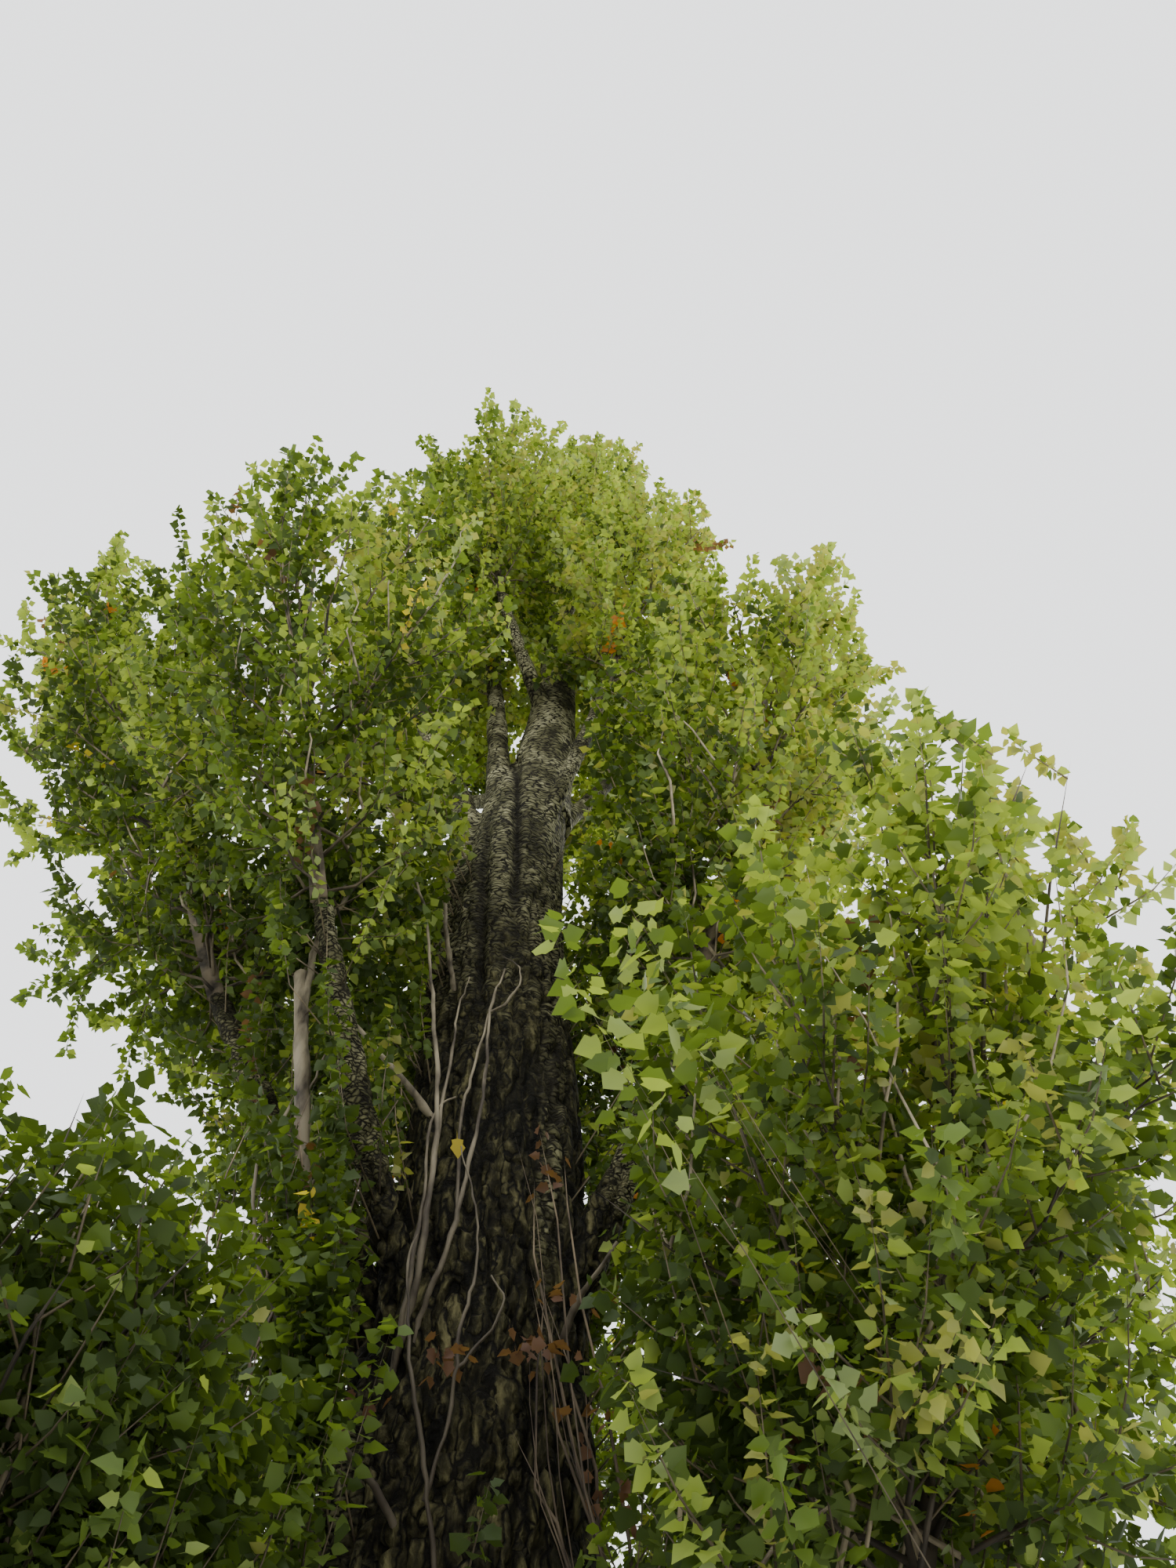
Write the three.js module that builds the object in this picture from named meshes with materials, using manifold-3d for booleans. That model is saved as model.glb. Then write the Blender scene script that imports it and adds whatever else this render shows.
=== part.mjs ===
// White poplar of narrow upright form, full size in millimetres.
// +Z is up, the flat cut under the trunk lies on z = 0 and -Y is the side with the bare trunk.
// The trunk forks near 9.8 m. Every limb carries one upright plume of twigs and leaves.
import * as THREE from 'three';
import { mergeVertices } from 'three/addons/utils/BufferGeometryUtils.js';
import Module from 'manifold-3d';

const wasm = await Module();
wasm.setup();
const { Manifold, Mesh } = wasm;

// Trunk
const FORK_Z = 9800;
const TRUNK_SIDES = 20;
const FLARE_RADIUS = 230;
const FLARE_HEIGHT = 620;
const ROOT_LOBES = 5;
const ROOT_LOBE_DEPTH = 0.34;
// Limbs
const SEAT_GAP = 0.3;
const LIMB_SIDES = 7;
const LIMB_STEPS = 4;
// Twigs and leaves
const STEM_SIDES = 3;
const STEM_STEPS = 3;
const TWIGS_PER_PLUME = 10;
const TWIGS_PER_SHORT_PLUME = 7;
const SHORT_PLUME = 3000;
const TWIG_RADIUS = 30;
const TWIG_TIP_RADIUS = 22;
const SPRAY_LENGTH = 900;
const SPRAY_WIDTH_RATIO = 0.68;
const SPRAY_THICKNESS = 24;
const ROOT_SINK = 18;
const BELLY = 0.56;
const TURN = 137.5;
const LIMB_CLEARANCE = 25;
const SPACE_MARGIN = 0.035;
const BARE_HALF_WIDTH = 520;
const BARE_TOP = 11800;
const FULLER_SIDE = 0.07;

const COLOURS = {
  trunk: 0x4a443c,
  limb: 0x8d8a7e,
  low: 0x71873c,
  mid: 0x7c9140,
  upper: 0x8a9a48,
  top: 0x98a352,
  tip: 0xa0a858,
};

// Each tier is a ring of plumes: radius and height of the plume axis at its foot and its head.
const TIERS = [
  { name: 'low', count: 7, first: -50, step: 47, footR: 1450, footZ: 3450, headR: 2350, headZ: 7500,
    width: 1120, limbRadius: 98, tipRadius: 54, drop: 1500, stagger: 330 },
  { name: 'mid', count: 7, first: -34, step: 44.5, footR: 1260, footZ: 6950, headR: 2400, headZ: 12100,
    width: 1140, limbRadius: 104, tipRadius: 58, drop: 2600, stagger: 420 },
  { name: 'upper', count: 6, first: -40, step: 60, footR: 960, footZ: 11500, headR: 1700, headZ: 16900,
    width: 1120, limbRadius: 86, tipRadius: 54, drop: 2600, leaderDrop: 1400, stagger: 380 },
  { name: 'top', count: 3, first: 70, step: 120, footR: 720, footZ: 16100, headR: 1020, headZ: 20900,
    width: 1020, limbRadius: 62, tipRadius: 44, leaderDrop: 1500, stagger: 260 },
  { name: 'tip', count: 1, first: 150, step: 0, footR: 60, footZ: 18900, headR: 120, headZ: 23200,
    width: 900, tipRadius: 50, stagger: 0 },
];

// The crown is not even: it swells low down at the right front and leaves the left front open there.
// A named plume is turned round the trunk by degrees, raised by millimetres, or scaled outwards.
const OWN_FORM = {
  low_1: { turned: 15, headRaised: -1000, fuller: 1.12 },
  low_2: { turned: 4, fuller: 1.1 },
  low_6: { footRaised: -500, headRaised: -2500 },
  low_7: { footRaised: -400, headRaised: -3200, fuller: 0.87, leaning: 0.9, wider: 0.8 },
  mid_1: { turned: 3, headRaised: -300, fuller: 1.06 },
  mid_6: { turned: 6, footRaised: -300, fuller: 1.14, leaning: 1.27, wider: 1.05 },
  mid_7: { headRaised: -1500, fuller: 1.04 },
  upper_1: { turned: -3, headRaised: -900, wider: 0.95 },
  upper_6: { turned: -12, footRaised: 1500, headRaised: -500, leaning: 0.97, wider: 1.08 },
};
const EVEN_FORM = { turned: 0, footRaised: 0, headRaised: 0, fuller: 1, leaning: 1, wider: 1 };

// Leaders stand side by side on the fork. Each key is the plume that the leader carries.
const LEADERS = {
  tip: { name: 'leader_main', x: 70, rootRadius: 276, collar: 20, steps: 9,
    pulls: [[250, 0, 13200], [180, 40, 16000]] },
  top_2: { name: 'leader_middle', x: -200, rootRadius: 116, collar: 0, steps: 7,
    pulls: [[-300, 0, 11900], [-620, -40, 14200]] },
  upper_5: { name: 'stem_left', x: -450, rootRadius: 100, collar: 0, steps: 4,
    pulls: [[-500, 0, 10500], [-900, -330, 10700]] },
};
// These plumes hang on boughs of the main leader, all others on boughs of the trunk.
const LEADER_BOUGHS = ['upper_3', 'upper_4', 'upper_6', 'top_1', 'top_3'];

const vec = (x, y, z) => new THREE.Vector3(x, y, z);
const UP = vec(0, 0, 1);

// Repeatable random numbers between 0 and 1 for one seed.
function dice(seed) {
  let state = seed >>> 0;
  return () => {
    state = (Math.imul(state, 1664525) + 1013904223) >>> 0;
    return state / 4294967296;
  };
}

function polar(radius, degrees, z) {
  const a = THREE.MathUtils.degToRad(degrees);
  return vec(radius * Math.cos(a), radius * Math.sin(a), z);
}

function mix(a, b, t) {
  return a + (b - a) * t;
}

// Value at z on a line through named stations, each station being [z, value].
function along(stations, z) {
  const last = stations.length - 1;
  if (z <= stations[0][0]) {
    return stations[0][1];
  }
  for (let i = 0; i < last; i++) {
    if (z <= stations[i + 1][0]) {
      const t = (z - stations[i][0]) / (stations[i + 1][0] - stations[i][0]);
      return mix(stations[i][1], stations[i + 1][1], t);
    }
  }
  return stations[last][1];
}

function solidFrom(points, faces) {
  const geometry = new THREE.BufferGeometry();
  const flat = points.flatMap((p) => [p.x, p.y, p.z]);
  geometry.setAttribute('position', new THREE.Float32BufferAttribute(flat, 3));
  geometry.setIndex(faces.flat());
  const mesh = new Mesh({
    numProp: 3,
    vertProperties: geometry.attributes.position.array,
    triVerts: Uint32Array.from(geometry.index.array),
  });
  return new Manifold(mesh);
}

// Closed tube through rings of points, all rings with the same count.
function tube(rings) {
  const n = rings[0].length;
  const points = rings.flat();
  const faces = [];
  for (let k = 0; k + 1 < rings.length; k++) {
    for (let i = 0; i < n; i++) {
      const a = k * n + i;
      const b = k * n + (i + 1) % n;
      faces.push([a, b, b + n]);
      faces.push([a, b + n, a + n]);
    }
  }
  const end = (rings.length - 1) * n;
  for (let i = 1; i + 1 < n; i++) {
    faces.push([0, i + 1, i]);
    faces.push([end, end + i, end + i + 1]);
  }
  return solidFrom(points, faces);
}

// Ring of points square to the direction, seen anticlockwise from its far end.
function ringAt(centre, direction, radius, sides, twist) {
  const u = new THREE.Vector3().crossVectors(vec(0.31, 0.95, 0), direction).normalize();
  const v = new THREE.Vector3().crossVectors(direction, u).normalize();
  const ring = [];
  for (let i = 0; i < sides; i++) {
    const a = twist + (2 * Math.PI * i) / sides;
    const point = centre.clone().addScaledVector(u, radius * Math.cos(a));
    ring.push(point.addScaledVector(v, radius * Math.sin(a)));
  }
  return ring;
}

// The one body that matters: loose scraps and the skins of sealed hollows are dropped.
function largest(solid) {
  const parts = solid.decompose();
  return parts.reduce((best, part) => (part.volume() > best.volume() ? part : best));
}

// Trunk axis, trunk radius and the column on its left that leaves it as a stem at the fork.
const TRUNK_X = [[0, 0], [4100, 75], [6000, 35], [7250, -20], [8100, -55], [FORK_Z + 400, 10]];
const TRUNK_R = [
  [0, 505], [1500, 490], [4100, 472], [6000, 420], [7250, 392], [8100, 362], [FORK_Z + 400, 318],
];
const LEFT_X = [[5600, -250], [7400, -345], [FORK_Z + 400, -455]];
const LEFT_R = [[5600, 110], [7400, 128], [FORK_Z + 400, 112]];

function trunkRadius(z, degrees) {
  const flare = FLARE_RADIUS * Math.exp(-z / FLARE_HEIGHT);
  const lobe = 1 + ROOT_LOBE_DEPTH * Math.cos(THREE.MathUtils.degToRad(ROOT_LOBES * degrees - 180));
  return along(TRUNK_R, z) + flare * lobe;
}

function trunkSolid(gap) {
  const rings = [];
  for (const z of [0, 160, 380, 700, 1200, 2000, 3000, 4100, 5100, 6000, 7250, 8100, 9000, FORK_Z + gap]) {
    const ring = [];
    for (let i = 0; i < TRUNK_SIDES; i++) {
      const degrees = (360 * i) / TRUNK_SIDES;
      ring.push(polar(trunkRadius(z, degrees) + gap, degrees, z).add(vec(along(TRUNK_X, z), 0, 0)));
    }
    rings.push(ring);
  }
  const column = [];
  for (const z of [5600, 6500, 7400, 8600, FORK_Z + gap]) {
    column.push(ringAt(vec(along(LEFT_X, z), 0, z), UP, along(LEFT_R, z) + gap, LIMB_SIDES, 0));
  }
  return largest(tube(rings).add(tube(column)));
}

// A limb is a curve between two points with a radius that tapers from root to tip.
function limbPoint(limb, t) {
  const a = limb.root.clone().multiplyScalar((1 - t) ** 3);
  a.addScaledVector(limb.rootPull, 3 * t * (1 - t) ** 2);
  a.addScaledVector(limb.tipPull, 3 * t * t * (1 - t));
  return a.addScaledVector(limb.tip, t ** 3);
}

function limbRadius(limb, t) {
  const collar = limb.collar * Math.exp(-t * 9);
  return mix(limb.rootRadius, limb.tipRadius, t) + collar;
}

function limbDirection(limb, t) {
  const ahead = limbPoint(limb, Math.min(t + 0.01, 1));
  return ahead.sub(limbPoint(limb, Math.max(t - 0.01, 0))).normalize();
}

function limbSolid(limb, gap) {
  const rings = [];
  for (let k = 0; k <= limb.steps; k++) {
    const t = k / limb.steps;
    const square = k === 0 && limb.level ? UP : limbDirection(limb, t);
    const centre = limbPoint(limb, t);
    if (k === 0 || k === limb.steps) {
      centre.addScaledVector(square, k === 0 ? -gap : gap);
    }
    rings.push(ringAt(centre, square, limbRadius(limb, t) + gap, LIMB_SIDES, 0));
  }
  return tube(rings);
}

// Axis of a plume: straight from foot to head with a slight outward bow.
function plumePoint(plume, t) {
  const p = plume.foot.clone().lerp(plume.head, t);
  return p.addScaledVector(plume.out, plume.bow * Math.sin(Math.PI * t));
}

function plumeDirection(plume, t) {
  const ahead = plumePoint(plume, Math.min(t + 0.01, 1));
  return ahead.sub(plumePoint(plume, Math.max(t - 0.01, 0))).normalize();
}

function plumeWidth(plume, t) {
  return plume.width * Math.sin(Math.PI * (0.14 + 0.76 * t)) ** 0.7;
}

function makePlumes() {
  const plumes = [];
  TIERS.forEach((tier, row) => {
    for (let i = 0; i < tier.count; i++) {
      const label = tier.count > 1 ? `${tier.name}_${i + 1}` : tier.name;
      const form = { ...EVEN_FORM, ...OWN_FORM[label] };
      const degrees = tier.first + tier.step * i + form.turned;
      const wander = dice(101 * (row + 1) + 17 * i);
      wander();
      const fuller = (1 - FULLER_SIDE * Math.cos(THREE.MathUtils.degToRad(degrees))) * form.fuller;
      const shift = tier.stagger * (i % 2 ? 1 : -1);
      const footZ = tier.footZ + shift * 0.6 + form.footRaised;
      const headZ = tier.headZ + shift + form.headRaised;
      const headR = tier.headR * fuller * form.leaning;
      const foot = polar(tier.footR * fuller, degrees, footZ);
      const head = polar(headR, degrees + 8 * (wander() - 0.5), headZ);
      plumes.push({
        tier,
        label,
        degrees,
        foot,
        head,
        out: polar(1, degrees, 0),
        bow: tier.name === 'tip' ? 0 : 120,
        width: tier.width * fuller * form.wider * mix(0.94, 1.06, wander()),
        seed: 1009 * (row + 1) + 131 * i,
      });
    }
  });
  return plumes;
}

// A leader stands on the fork and ends at the foot of its plume.
function makeLeader(plume) {
  const form = LEADERS[plume.label];
  return {
    name: form.name,
    plume,
    root: vec(form.x, 0, FORK_Z + SEAT_GAP),
    rootPull: vec(...form.pulls[0]),
    tipPull: vec(...form.pulls[1]),
    tip: plume.foot,
    rootRadius: form.rootRadius,
    tipRadius: plume.tier.tipRadius,
    collar: form.collar,
    steps: form.steps,
    level: true,
  };
}

function pointAtHeight(limb, z) {
  let low = 0;
  let high = 1;
  for (let i = 0; i < 30; i++) {
    const half = (low + high) / 2;
    if (limbPoint(limb, half).z < z) {
      low = half;
    } else {
      high = half;
    }
  }
  return limbPoint(limb, low);
}

// A bough starts inside the trunk or the main leader and rises to the foot of its plume.
function makeBough(plume, main) {
  const { tier, foot } = plume;
  const onLeader = LEADER_BOUGHS.includes(plume.label);
  const rootZ = foot.z - (onLeader ? tier.leaderDrop : tier.drop);
  const root = onLeader ? pointAtHeight(main, rootZ) : vec(along(TRUNK_X, rootZ), 0, rootZ);
  const run = foot.clone().sub(root);
  const arrive = run.clone().normalize().add(plumeDirection(plume, 0)).normalize();
  return {
    name: `bough_${plume.label}`,
    plume,
    root,
    rootPull: root.clone().addScaledVector(run, 0.36),
    tipPull: foot.clone().addScaledVector(arrive, -run.length() * 0.33),
    tip: foot,
    rootRadius: tier.limbRadius,
    tipRadius: tier.tipRadius,
    collar: tier.limbRadius * 0.45,
    steps: LIMB_STEPS,
    level: false,
  };
}

// Distance from a point to the plume axis as a share of the plume width.
function shareOf(plume, p) {
  let best = Infinity;
  for (let k = 0; k <= 12; k++) {
    const t = k / 12;
    best = Math.min(best, p.distanceTo(plumePoint(plume, t)) / plumeWidth(plume, t));
  }
  return best;
}

function limbDistance(limb, p) {
  let best = Infinity;
  for (let k = 0; k <= 24; k++) {
    const t = k / 24;
    best = Math.min(best, p.distanceTo(limbPoint(limb, t)) - limbRadius(limb, t));
  }
  return best;
}

// True when all points stay in the plume's own space, off every limb and off the trunk.
function keepsItsSpace(points, plume, plumes, limbs) {
  for (const p of points) {
    const own = shareOf(plume, p);
    if (own > 1.08) {
      return false;
    }
    for (const other of plumes) {
      if (other !== plume && shareOf(other, p) < own + SPACE_MARGIN) {
        return false;
      }
    }
    for (const limb of limbs) {
      const near = limb.plume === plume ? 40 : LIMB_CLEARANCE + 30;
      if (limbDistance(limb, p) < near) {
        return false;
      }
    }
    if (p.z < BARE_TOP && p.y < 0 && Math.abs(p.x) < BARE_HALF_WIDTH) {
      return false;
    }
    if (p.z < FORK_Z + 300) {
      const off = Math.hypot(p.x - along(TRUNK_X, p.z), p.y);
      if (off < along(TRUNK_R, p.z) + 160 + FLARE_RADIUS * Math.exp(-p.z / FLARE_HEIGHT)) {
        return false;
      }
    }
  }
  return true;
}

// Flat rhombic spray of leaves: root, two sides, tip and the two faces' middles.
function sprayPoints(root, direction, normal, length) {
  const side = new THREE.Vector3().crossVectors(normal, direction).normalize();
  const face = new THREE.Vector3().crossVectors(direction, side).normalize();
  const belly = root.clone().addScaledVector(direction, length * BELLY);
  const half = length * SPRAY_WIDTH_RATIO * 0.5;
  return [
    root.clone(),
    belly.clone().addScaledVector(side, half),
    root.clone().addScaledVector(direction, length),
    belly.clone().addScaledVector(side, -half),
    belly.clone().addScaledVector(face, SPRAY_THICKNESS / 2),
    belly.clone().addScaledVector(face, -SPRAY_THICKNESS / 2),
  ];
}

function spraySolid(points) {
  const faces = [];
  for (let i = 0; i < 4; i++) {
    const j = (i + 1) % 4;
    faces.push([i, 4, j]);
    faces.push([i, j, 5]);
  }
  return solidFrom(points, faces);
}

// Points tested against the plume's space: the outline of the spray at finer steps.
function sprayTest(points) {
  const tests = [points[4]];
  for (let i = 0; i < 4; i++) {
    const a = points[i];
    const b = points[(i + 1) % 4];
    for (const t of [0, 0.33, 0.67]) {
      tests.push(a.clone().lerp(b, t));
    }
  }
  return tests.slice(2);
}

function growPlume(plume, plumes, limbs) {
  const roll = dice(plume.seed);
  roll();
  const solids = [];
  const rings = [];
  const start = plume.tier.tipRadius * 0.98;
  for (let k = 0; k <= STEM_STEPS; k++) {
    const t = (k / STEM_STEPS) * 0.86;
    const centre = plumePoint(plume, t);
    if (k === 0) {
      centre.addScaledVector(plumeDirection(plume, 0), -ROOT_SINK);
    }
    const radius = mix(start, TWIG_TIP_RADIUS, t / 0.86);
    rings.push(ringAt(centre, plumeDirection(plume, t), radius, STEM_SIDES, 0));
  }
  solids.push(tube(rings));

  // Twigs are laid out first, then each spray takes the first size and turn that has room.
  const addSpray = (root, direction, normal, length) => {
    const across = new THREE.Vector3().crossVectors(direction, normal);
    for (const scale of [1, 0.8, 0.62]) {
      for (const facing of [normal, across]) {
        const points = sprayPoints(root, direction, facing, length * scale);
        if (!keepsItsSpace(sprayTest(points), plume, plumes, limbs)) {
          continue;
        }
        const ahead = root.clone().addScaledVector(direction, 90);
        const probe = spraySolid(sprayPoints(ahead, direction, facing, length * scale - 90));
        if (solids.every((other) => other.intersect(probe).isEmpty())) {
          solids.push(spraySolid(points));
          return;
        }
      }
    }
  };

  const sprays = [];
  const isShort = plume.head.z - plume.foot.z < SHORT_PLUME;
  const twigs = isShort ? TWIGS_PER_SHORT_PLUME : TWIGS_PER_PLUME;
  for (let k = 0; k < twigs; k++) {
    const t = mix(0.06, 0.8, (k + 0.5) / twigs);
    const bearing = plume.degrees + TURN * k + 50 * (roll() - 0.5);
    const tilt = THREE.MathUtils.degToRad(mix(66, 34, t) + 12 * (roll() - 0.5));
    const reach = plumeWidth(plume, t) * mix(0.5, 0.66, roll());
    const turned = roll() * 2 - 1;
    const size = SPRAY_LENGTH * mix(0.8, 1.1, roll());
    const direction = polar(Math.sin(tilt), bearing, Math.cos(tilt));
    const root = plumePoint(plume, t);
    const tip = root.clone().addScaledVector(direction, reach / Math.sin(tilt));
    if (!keepsItsSpace([root.clone().lerp(tip, 0.55), tip], plume, plumes, limbs)) {
      continue;
    }
    solids.push(tube([
      ringAt(root, direction, TWIG_RADIUS, 3, 0.4),
      ringAt(tip, direction, TWIG_TIP_RADIUS, 3, 0.4),
    ]));
    const side = new THREE.Vector3().crossVectors(UP, direction).normalize();
    const face = new THREE.Vector3().crossVectors(direction, side).normalize();
    sprays.push([
      tip.clone().addScaledVector(direction, -ROOT_SINK),
      direction.clone().addScaledVector(UP, 0.15).normalize(),
      face.clone().addScaledVector(side, turned),
      size,
    ]);
    sprays.push([
      root.clone().lerp(tip, 0.62),
      direction.clone().addScaledVector(side, k % 2 ? 0.95 : -0.95).normalize(),
      face.clone().multiplyScalar(turned * 0.6).addScaledVector(side, 0.8).addScaledVector(UP, 0.3),
      size * 0.85,
    ]);
  }
  const crest = plumePoint(plume, 0.86);
  const aim = plumeDirection(plume, 0.86);
  const crestFace = polar(1, plume.degrees + 60, 0);
  sprays.push([crest.addScaledVector(aim, -ROOT_SINK), aim, crestFace, SPRAY_LENGTH * 1.05]);
  for (const spray of sprays) {
    addSpray(...spray);
  }
  const grown = Manifold.union(solids);
  return largest(grown.subtract(limbSolid(limbs.find((limb) => limb.plume === plume), SEAT_GAP)));
}

function finished(solid, name, material) {
  const data = solid.getMesh();
  let geometry = new THREE.BufferGeometry();
  geometry.setAttribute('position', new THREE.Float32BufferAttribute(data.vertProperties, 3));
  geometry.setIndex([...data.triVerts]);
  geometry.deleteAttribute('normal');
  geometry.deleteAttribute('uv');
  geometry = mergeVertices(geometry, 1e-3);
  geometry.computeVertexNormals();
  const mesh = new THREE.Mesh(geometry, material);
  mesh.name = name;
  return mesh;
}

function barkMaterial(colour) {
  return new THREE.MeshStandardMaterial({ color: colour, roughness: 0.92, metalness: 0 });
}

function leafMaterial(colour) {
  return new THREE.MeshStandardMaterial({ color: colour, roughness: 0.62, metalness: 0 });
}

const tree = new THREE.Group();
tree.name = 'poplar_tree';

const plumes = makePlumes();
const carrying = (label) => plumes.find((plume) => plume.label === label);
const leaders = Object.keys(LEADERS).map((label) => makeLeader(carrying(label)));
const others = plumes.filter((plume) => !LEADERS[plume.label]);
const limbs = [...leaders, ...others.map((plume) => makeBough(plume, leaders[0]))];
tree.add(finished(trunkSolid(0), 'trunk', barkMaterial(COLOURS.trunk)));

// Each limb is cut by grown copies of the trunk and of the limbs before it, which leaves the seat gap.
const seats = [trunkSolid(SEAT_GAP)];
for (const limb of limbs) {
  let solid = limbSolid(limb, 0);
  for (const seat of seats) {
    solid = solid.subtract(seat);
  }
  seats.push(limbSolid(limb, SEAT_GAP));
  tree.add(finished(largest(solid), limb.name, barkMaterial(COLOURS.limb)));
}

for (const plume of plumes) {
  const solid = growPlume(plume, plumes, limbs);
  tree.add(finished(solid, `foliage_${plume.label}`, leafMaterial(COLOURS[plume.tier.name])));
}

export default tree;
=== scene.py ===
# Tall narrow white poplar seen from close to its foot, in metres.
# The trunk forks near 9.8 m, boughs rise steeply round it and each carries one upright plume of leaves.
import math

import bpy
import numpy as np
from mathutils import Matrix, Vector, noise


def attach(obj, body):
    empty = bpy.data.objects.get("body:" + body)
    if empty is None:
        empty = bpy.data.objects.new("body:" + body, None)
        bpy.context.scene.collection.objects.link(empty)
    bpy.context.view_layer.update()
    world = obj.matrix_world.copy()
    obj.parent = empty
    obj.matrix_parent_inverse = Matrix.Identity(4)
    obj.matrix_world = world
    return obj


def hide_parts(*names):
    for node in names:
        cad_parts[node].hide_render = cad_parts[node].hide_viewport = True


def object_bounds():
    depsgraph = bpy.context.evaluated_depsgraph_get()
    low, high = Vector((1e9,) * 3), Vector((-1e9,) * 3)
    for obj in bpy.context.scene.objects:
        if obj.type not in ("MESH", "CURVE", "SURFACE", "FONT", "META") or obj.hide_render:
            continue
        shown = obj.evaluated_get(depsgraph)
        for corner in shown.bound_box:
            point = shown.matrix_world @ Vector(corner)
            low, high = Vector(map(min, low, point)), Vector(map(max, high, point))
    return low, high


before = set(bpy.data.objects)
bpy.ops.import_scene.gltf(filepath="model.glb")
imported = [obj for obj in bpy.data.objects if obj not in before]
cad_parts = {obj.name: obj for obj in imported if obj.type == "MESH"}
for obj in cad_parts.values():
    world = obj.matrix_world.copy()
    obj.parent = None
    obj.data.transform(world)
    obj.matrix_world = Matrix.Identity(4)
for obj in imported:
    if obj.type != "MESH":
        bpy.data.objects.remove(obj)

built_low, built_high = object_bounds()

# Camera
# The tree is seen by someone standing four metres in front of the trunk, at eye height,
# who looks steeply up along it. The lens is a moderate wide angle on an upright frame.
EYE = (0.50, -4.0, 1.6)
LOOK_UP_DEGREES = 66.0

camera_data = bpy.data.cameras.new("eye")
camera_data.sensor_width = 36.0
camera_data.lens = 27.0
camera_data.clip_start = 0.05
camera_data.clip_end = 600.0
camera = bpy.data.objects.new("eye", camera_data)
camera.location = EYE
camera.rotation_euler = (math.radians(90.0 + LOOK_UP_DEGREES), 0.0, 0.0)
bpy.context.collection.objects.link(camera)
bpy.context.scene.camera = camera

# Ground and light
# A plain pale floor under an even white sky. It throws soft light up into the crown,
# and one broad weak sun gives the leaves a lit and a shaded side.
FLOOR_SIZE = 160.0

bpy.ops.object.select_all(action="DESELECT")
bpy.ops.mesh.primitive_plane_add(size=FLOOR_SIZE, location=(0.0, 0.0, -0.002))
floor = bpy.context.object
floor.name = "floor"
floor_paint = bpy.data.materials.new("pale_floor")
floor_paint.use_nodes = True
floor_shader = floor_paint.node_tree.nodes["Principled BSDF"]
floor_shader.inputs["Base Color"].default_value = (0.42, 0.42, 0.40, 1.0)
floor_shader.inputs["Roughness"].default_value = 0.9
floor.data.materials.append(floor_paint)

sky = bpy.data.worlds.new("white_sky")
sky.use_nodes = True
sky.node_tree.nodes["Background"].inputs["Color"].default_value = (0.97, 0.985, 1.0, 1.0)
sky.node_tree.nodes["Background"].inputs["Strength"].default_value = 2.3
bpy.context.scene.world = sky

sun_data = bpy.data.lights.new("broad_sun", "SUN")
sun_data.energy = 3.0
sun_data.angle = math.radians(25.0)
sun_data.color = (1.0, 0.97, 0.90)
sun = bpy.data.objects.new("broad_sun", sun_data)
sun.rotation_euler = (math.radians(40.0), 0.0, math.radians(128.0))
bpy.context.collection.objects.link(sun)

# Trunk, leaders and boughs
# Living wood under bark, one grown body: a flared trunk, three leaders on its fork and a bough
# for every plume. Low down the bark is dark and furrowed, higher it is pale with cross cracks.
# The dark bark low down is partly painted shade, and the pale patches on its front are partly painted light.
FORK_Z = 9.8
FLARE_RADIUS = 0.230
FLARE_HEIGHT = 0.620
ROOT_LOBES = 5
ROOT_LOBE_DEPTH = 0.34
SPIRAL_STEP = 137.5
FULLER_SIDE = 0.07
TRUNK_X = [(0.0, 0.0), (4.1, 0.075), (6.0, 0.035), (7.25, -0.020), (8.1, -0.055), (10.2, 0.010)]
TRUNK_R = [
    (0.0, 0.505), (1.5, 0.490), (4.1, 0.472), (6.0, 0.420), (7.25, 0.392), (8.1, 0.362), (10.2, 0.318),
]
TRUNK_RINGS = [
    0.0, 0.12, 0.26, 0.44, 0.70, 1.0, 1.4, 2.0, 2.8, 3.6, 4.4, 5.2, 6.0, 6.8, 7.6, 8.4, 9.2, 9.8, 10.1,
]
TRUNK_TOP = (0.09, 10.5, 0.24)
TRUNK_SIDES = 72
LEFT_X = [(5.6, -0.250), (7.4, -0.345), (10.2, -0.455)]
LEFT_R = [(5.6, 0.110), (7.4, 0.128), (10.2, 0.112)]
LEFT_RINGS = [5.6, 6.2, 6.9, 7.6, 8.4, 9.2, 9.9]
LEFT_SIDES = 24

TIERS = [
    dict(name="low", count=7, first=-50, step=47, foot_r=1.45, foot_z=3.45, head_r=2.35, head_z=7.5,
         width=1.12, limb_radius=0.098, tip_radius=0.054, drop=1.5, stagger=0.33),
    dict(name="mid", count=7, first=-34, step=44.5, foot_r=1.26, foot_z=6.95, head_r=2.40, head_z=12.1,
         width=1.14, limb_radius=0.104, tip_radius=0.058, drop=2.6, stagger=0.42),
    dict(name="upper", count=6, first=-40, step=60, foot_r=0.96, foot_z=11.5, head_r=1.70, head_z=16.9,
         width=1.12, limb_radius=0.086, tip_radius=0.054, drop=2.6, leader_drop=1.4, stagger=0.38),
    dict(name="top", count=3, first=70, step=120, foot_r=0.72, foot_z=16.1, head_r=1.02, head_z=20.9,
         width=1.02, limb_radius=0.062, tip_radius=0.044, leader_drop=1.5, stagger=0.26),
    dict(name="tip", count=1, first=150, step=0, foot_r=0.06, foot_z=18.9, head_r=0.12, head_z=23.2,
         width=0.90, tip_radius=0.050, stagger=0.0),
]
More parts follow.
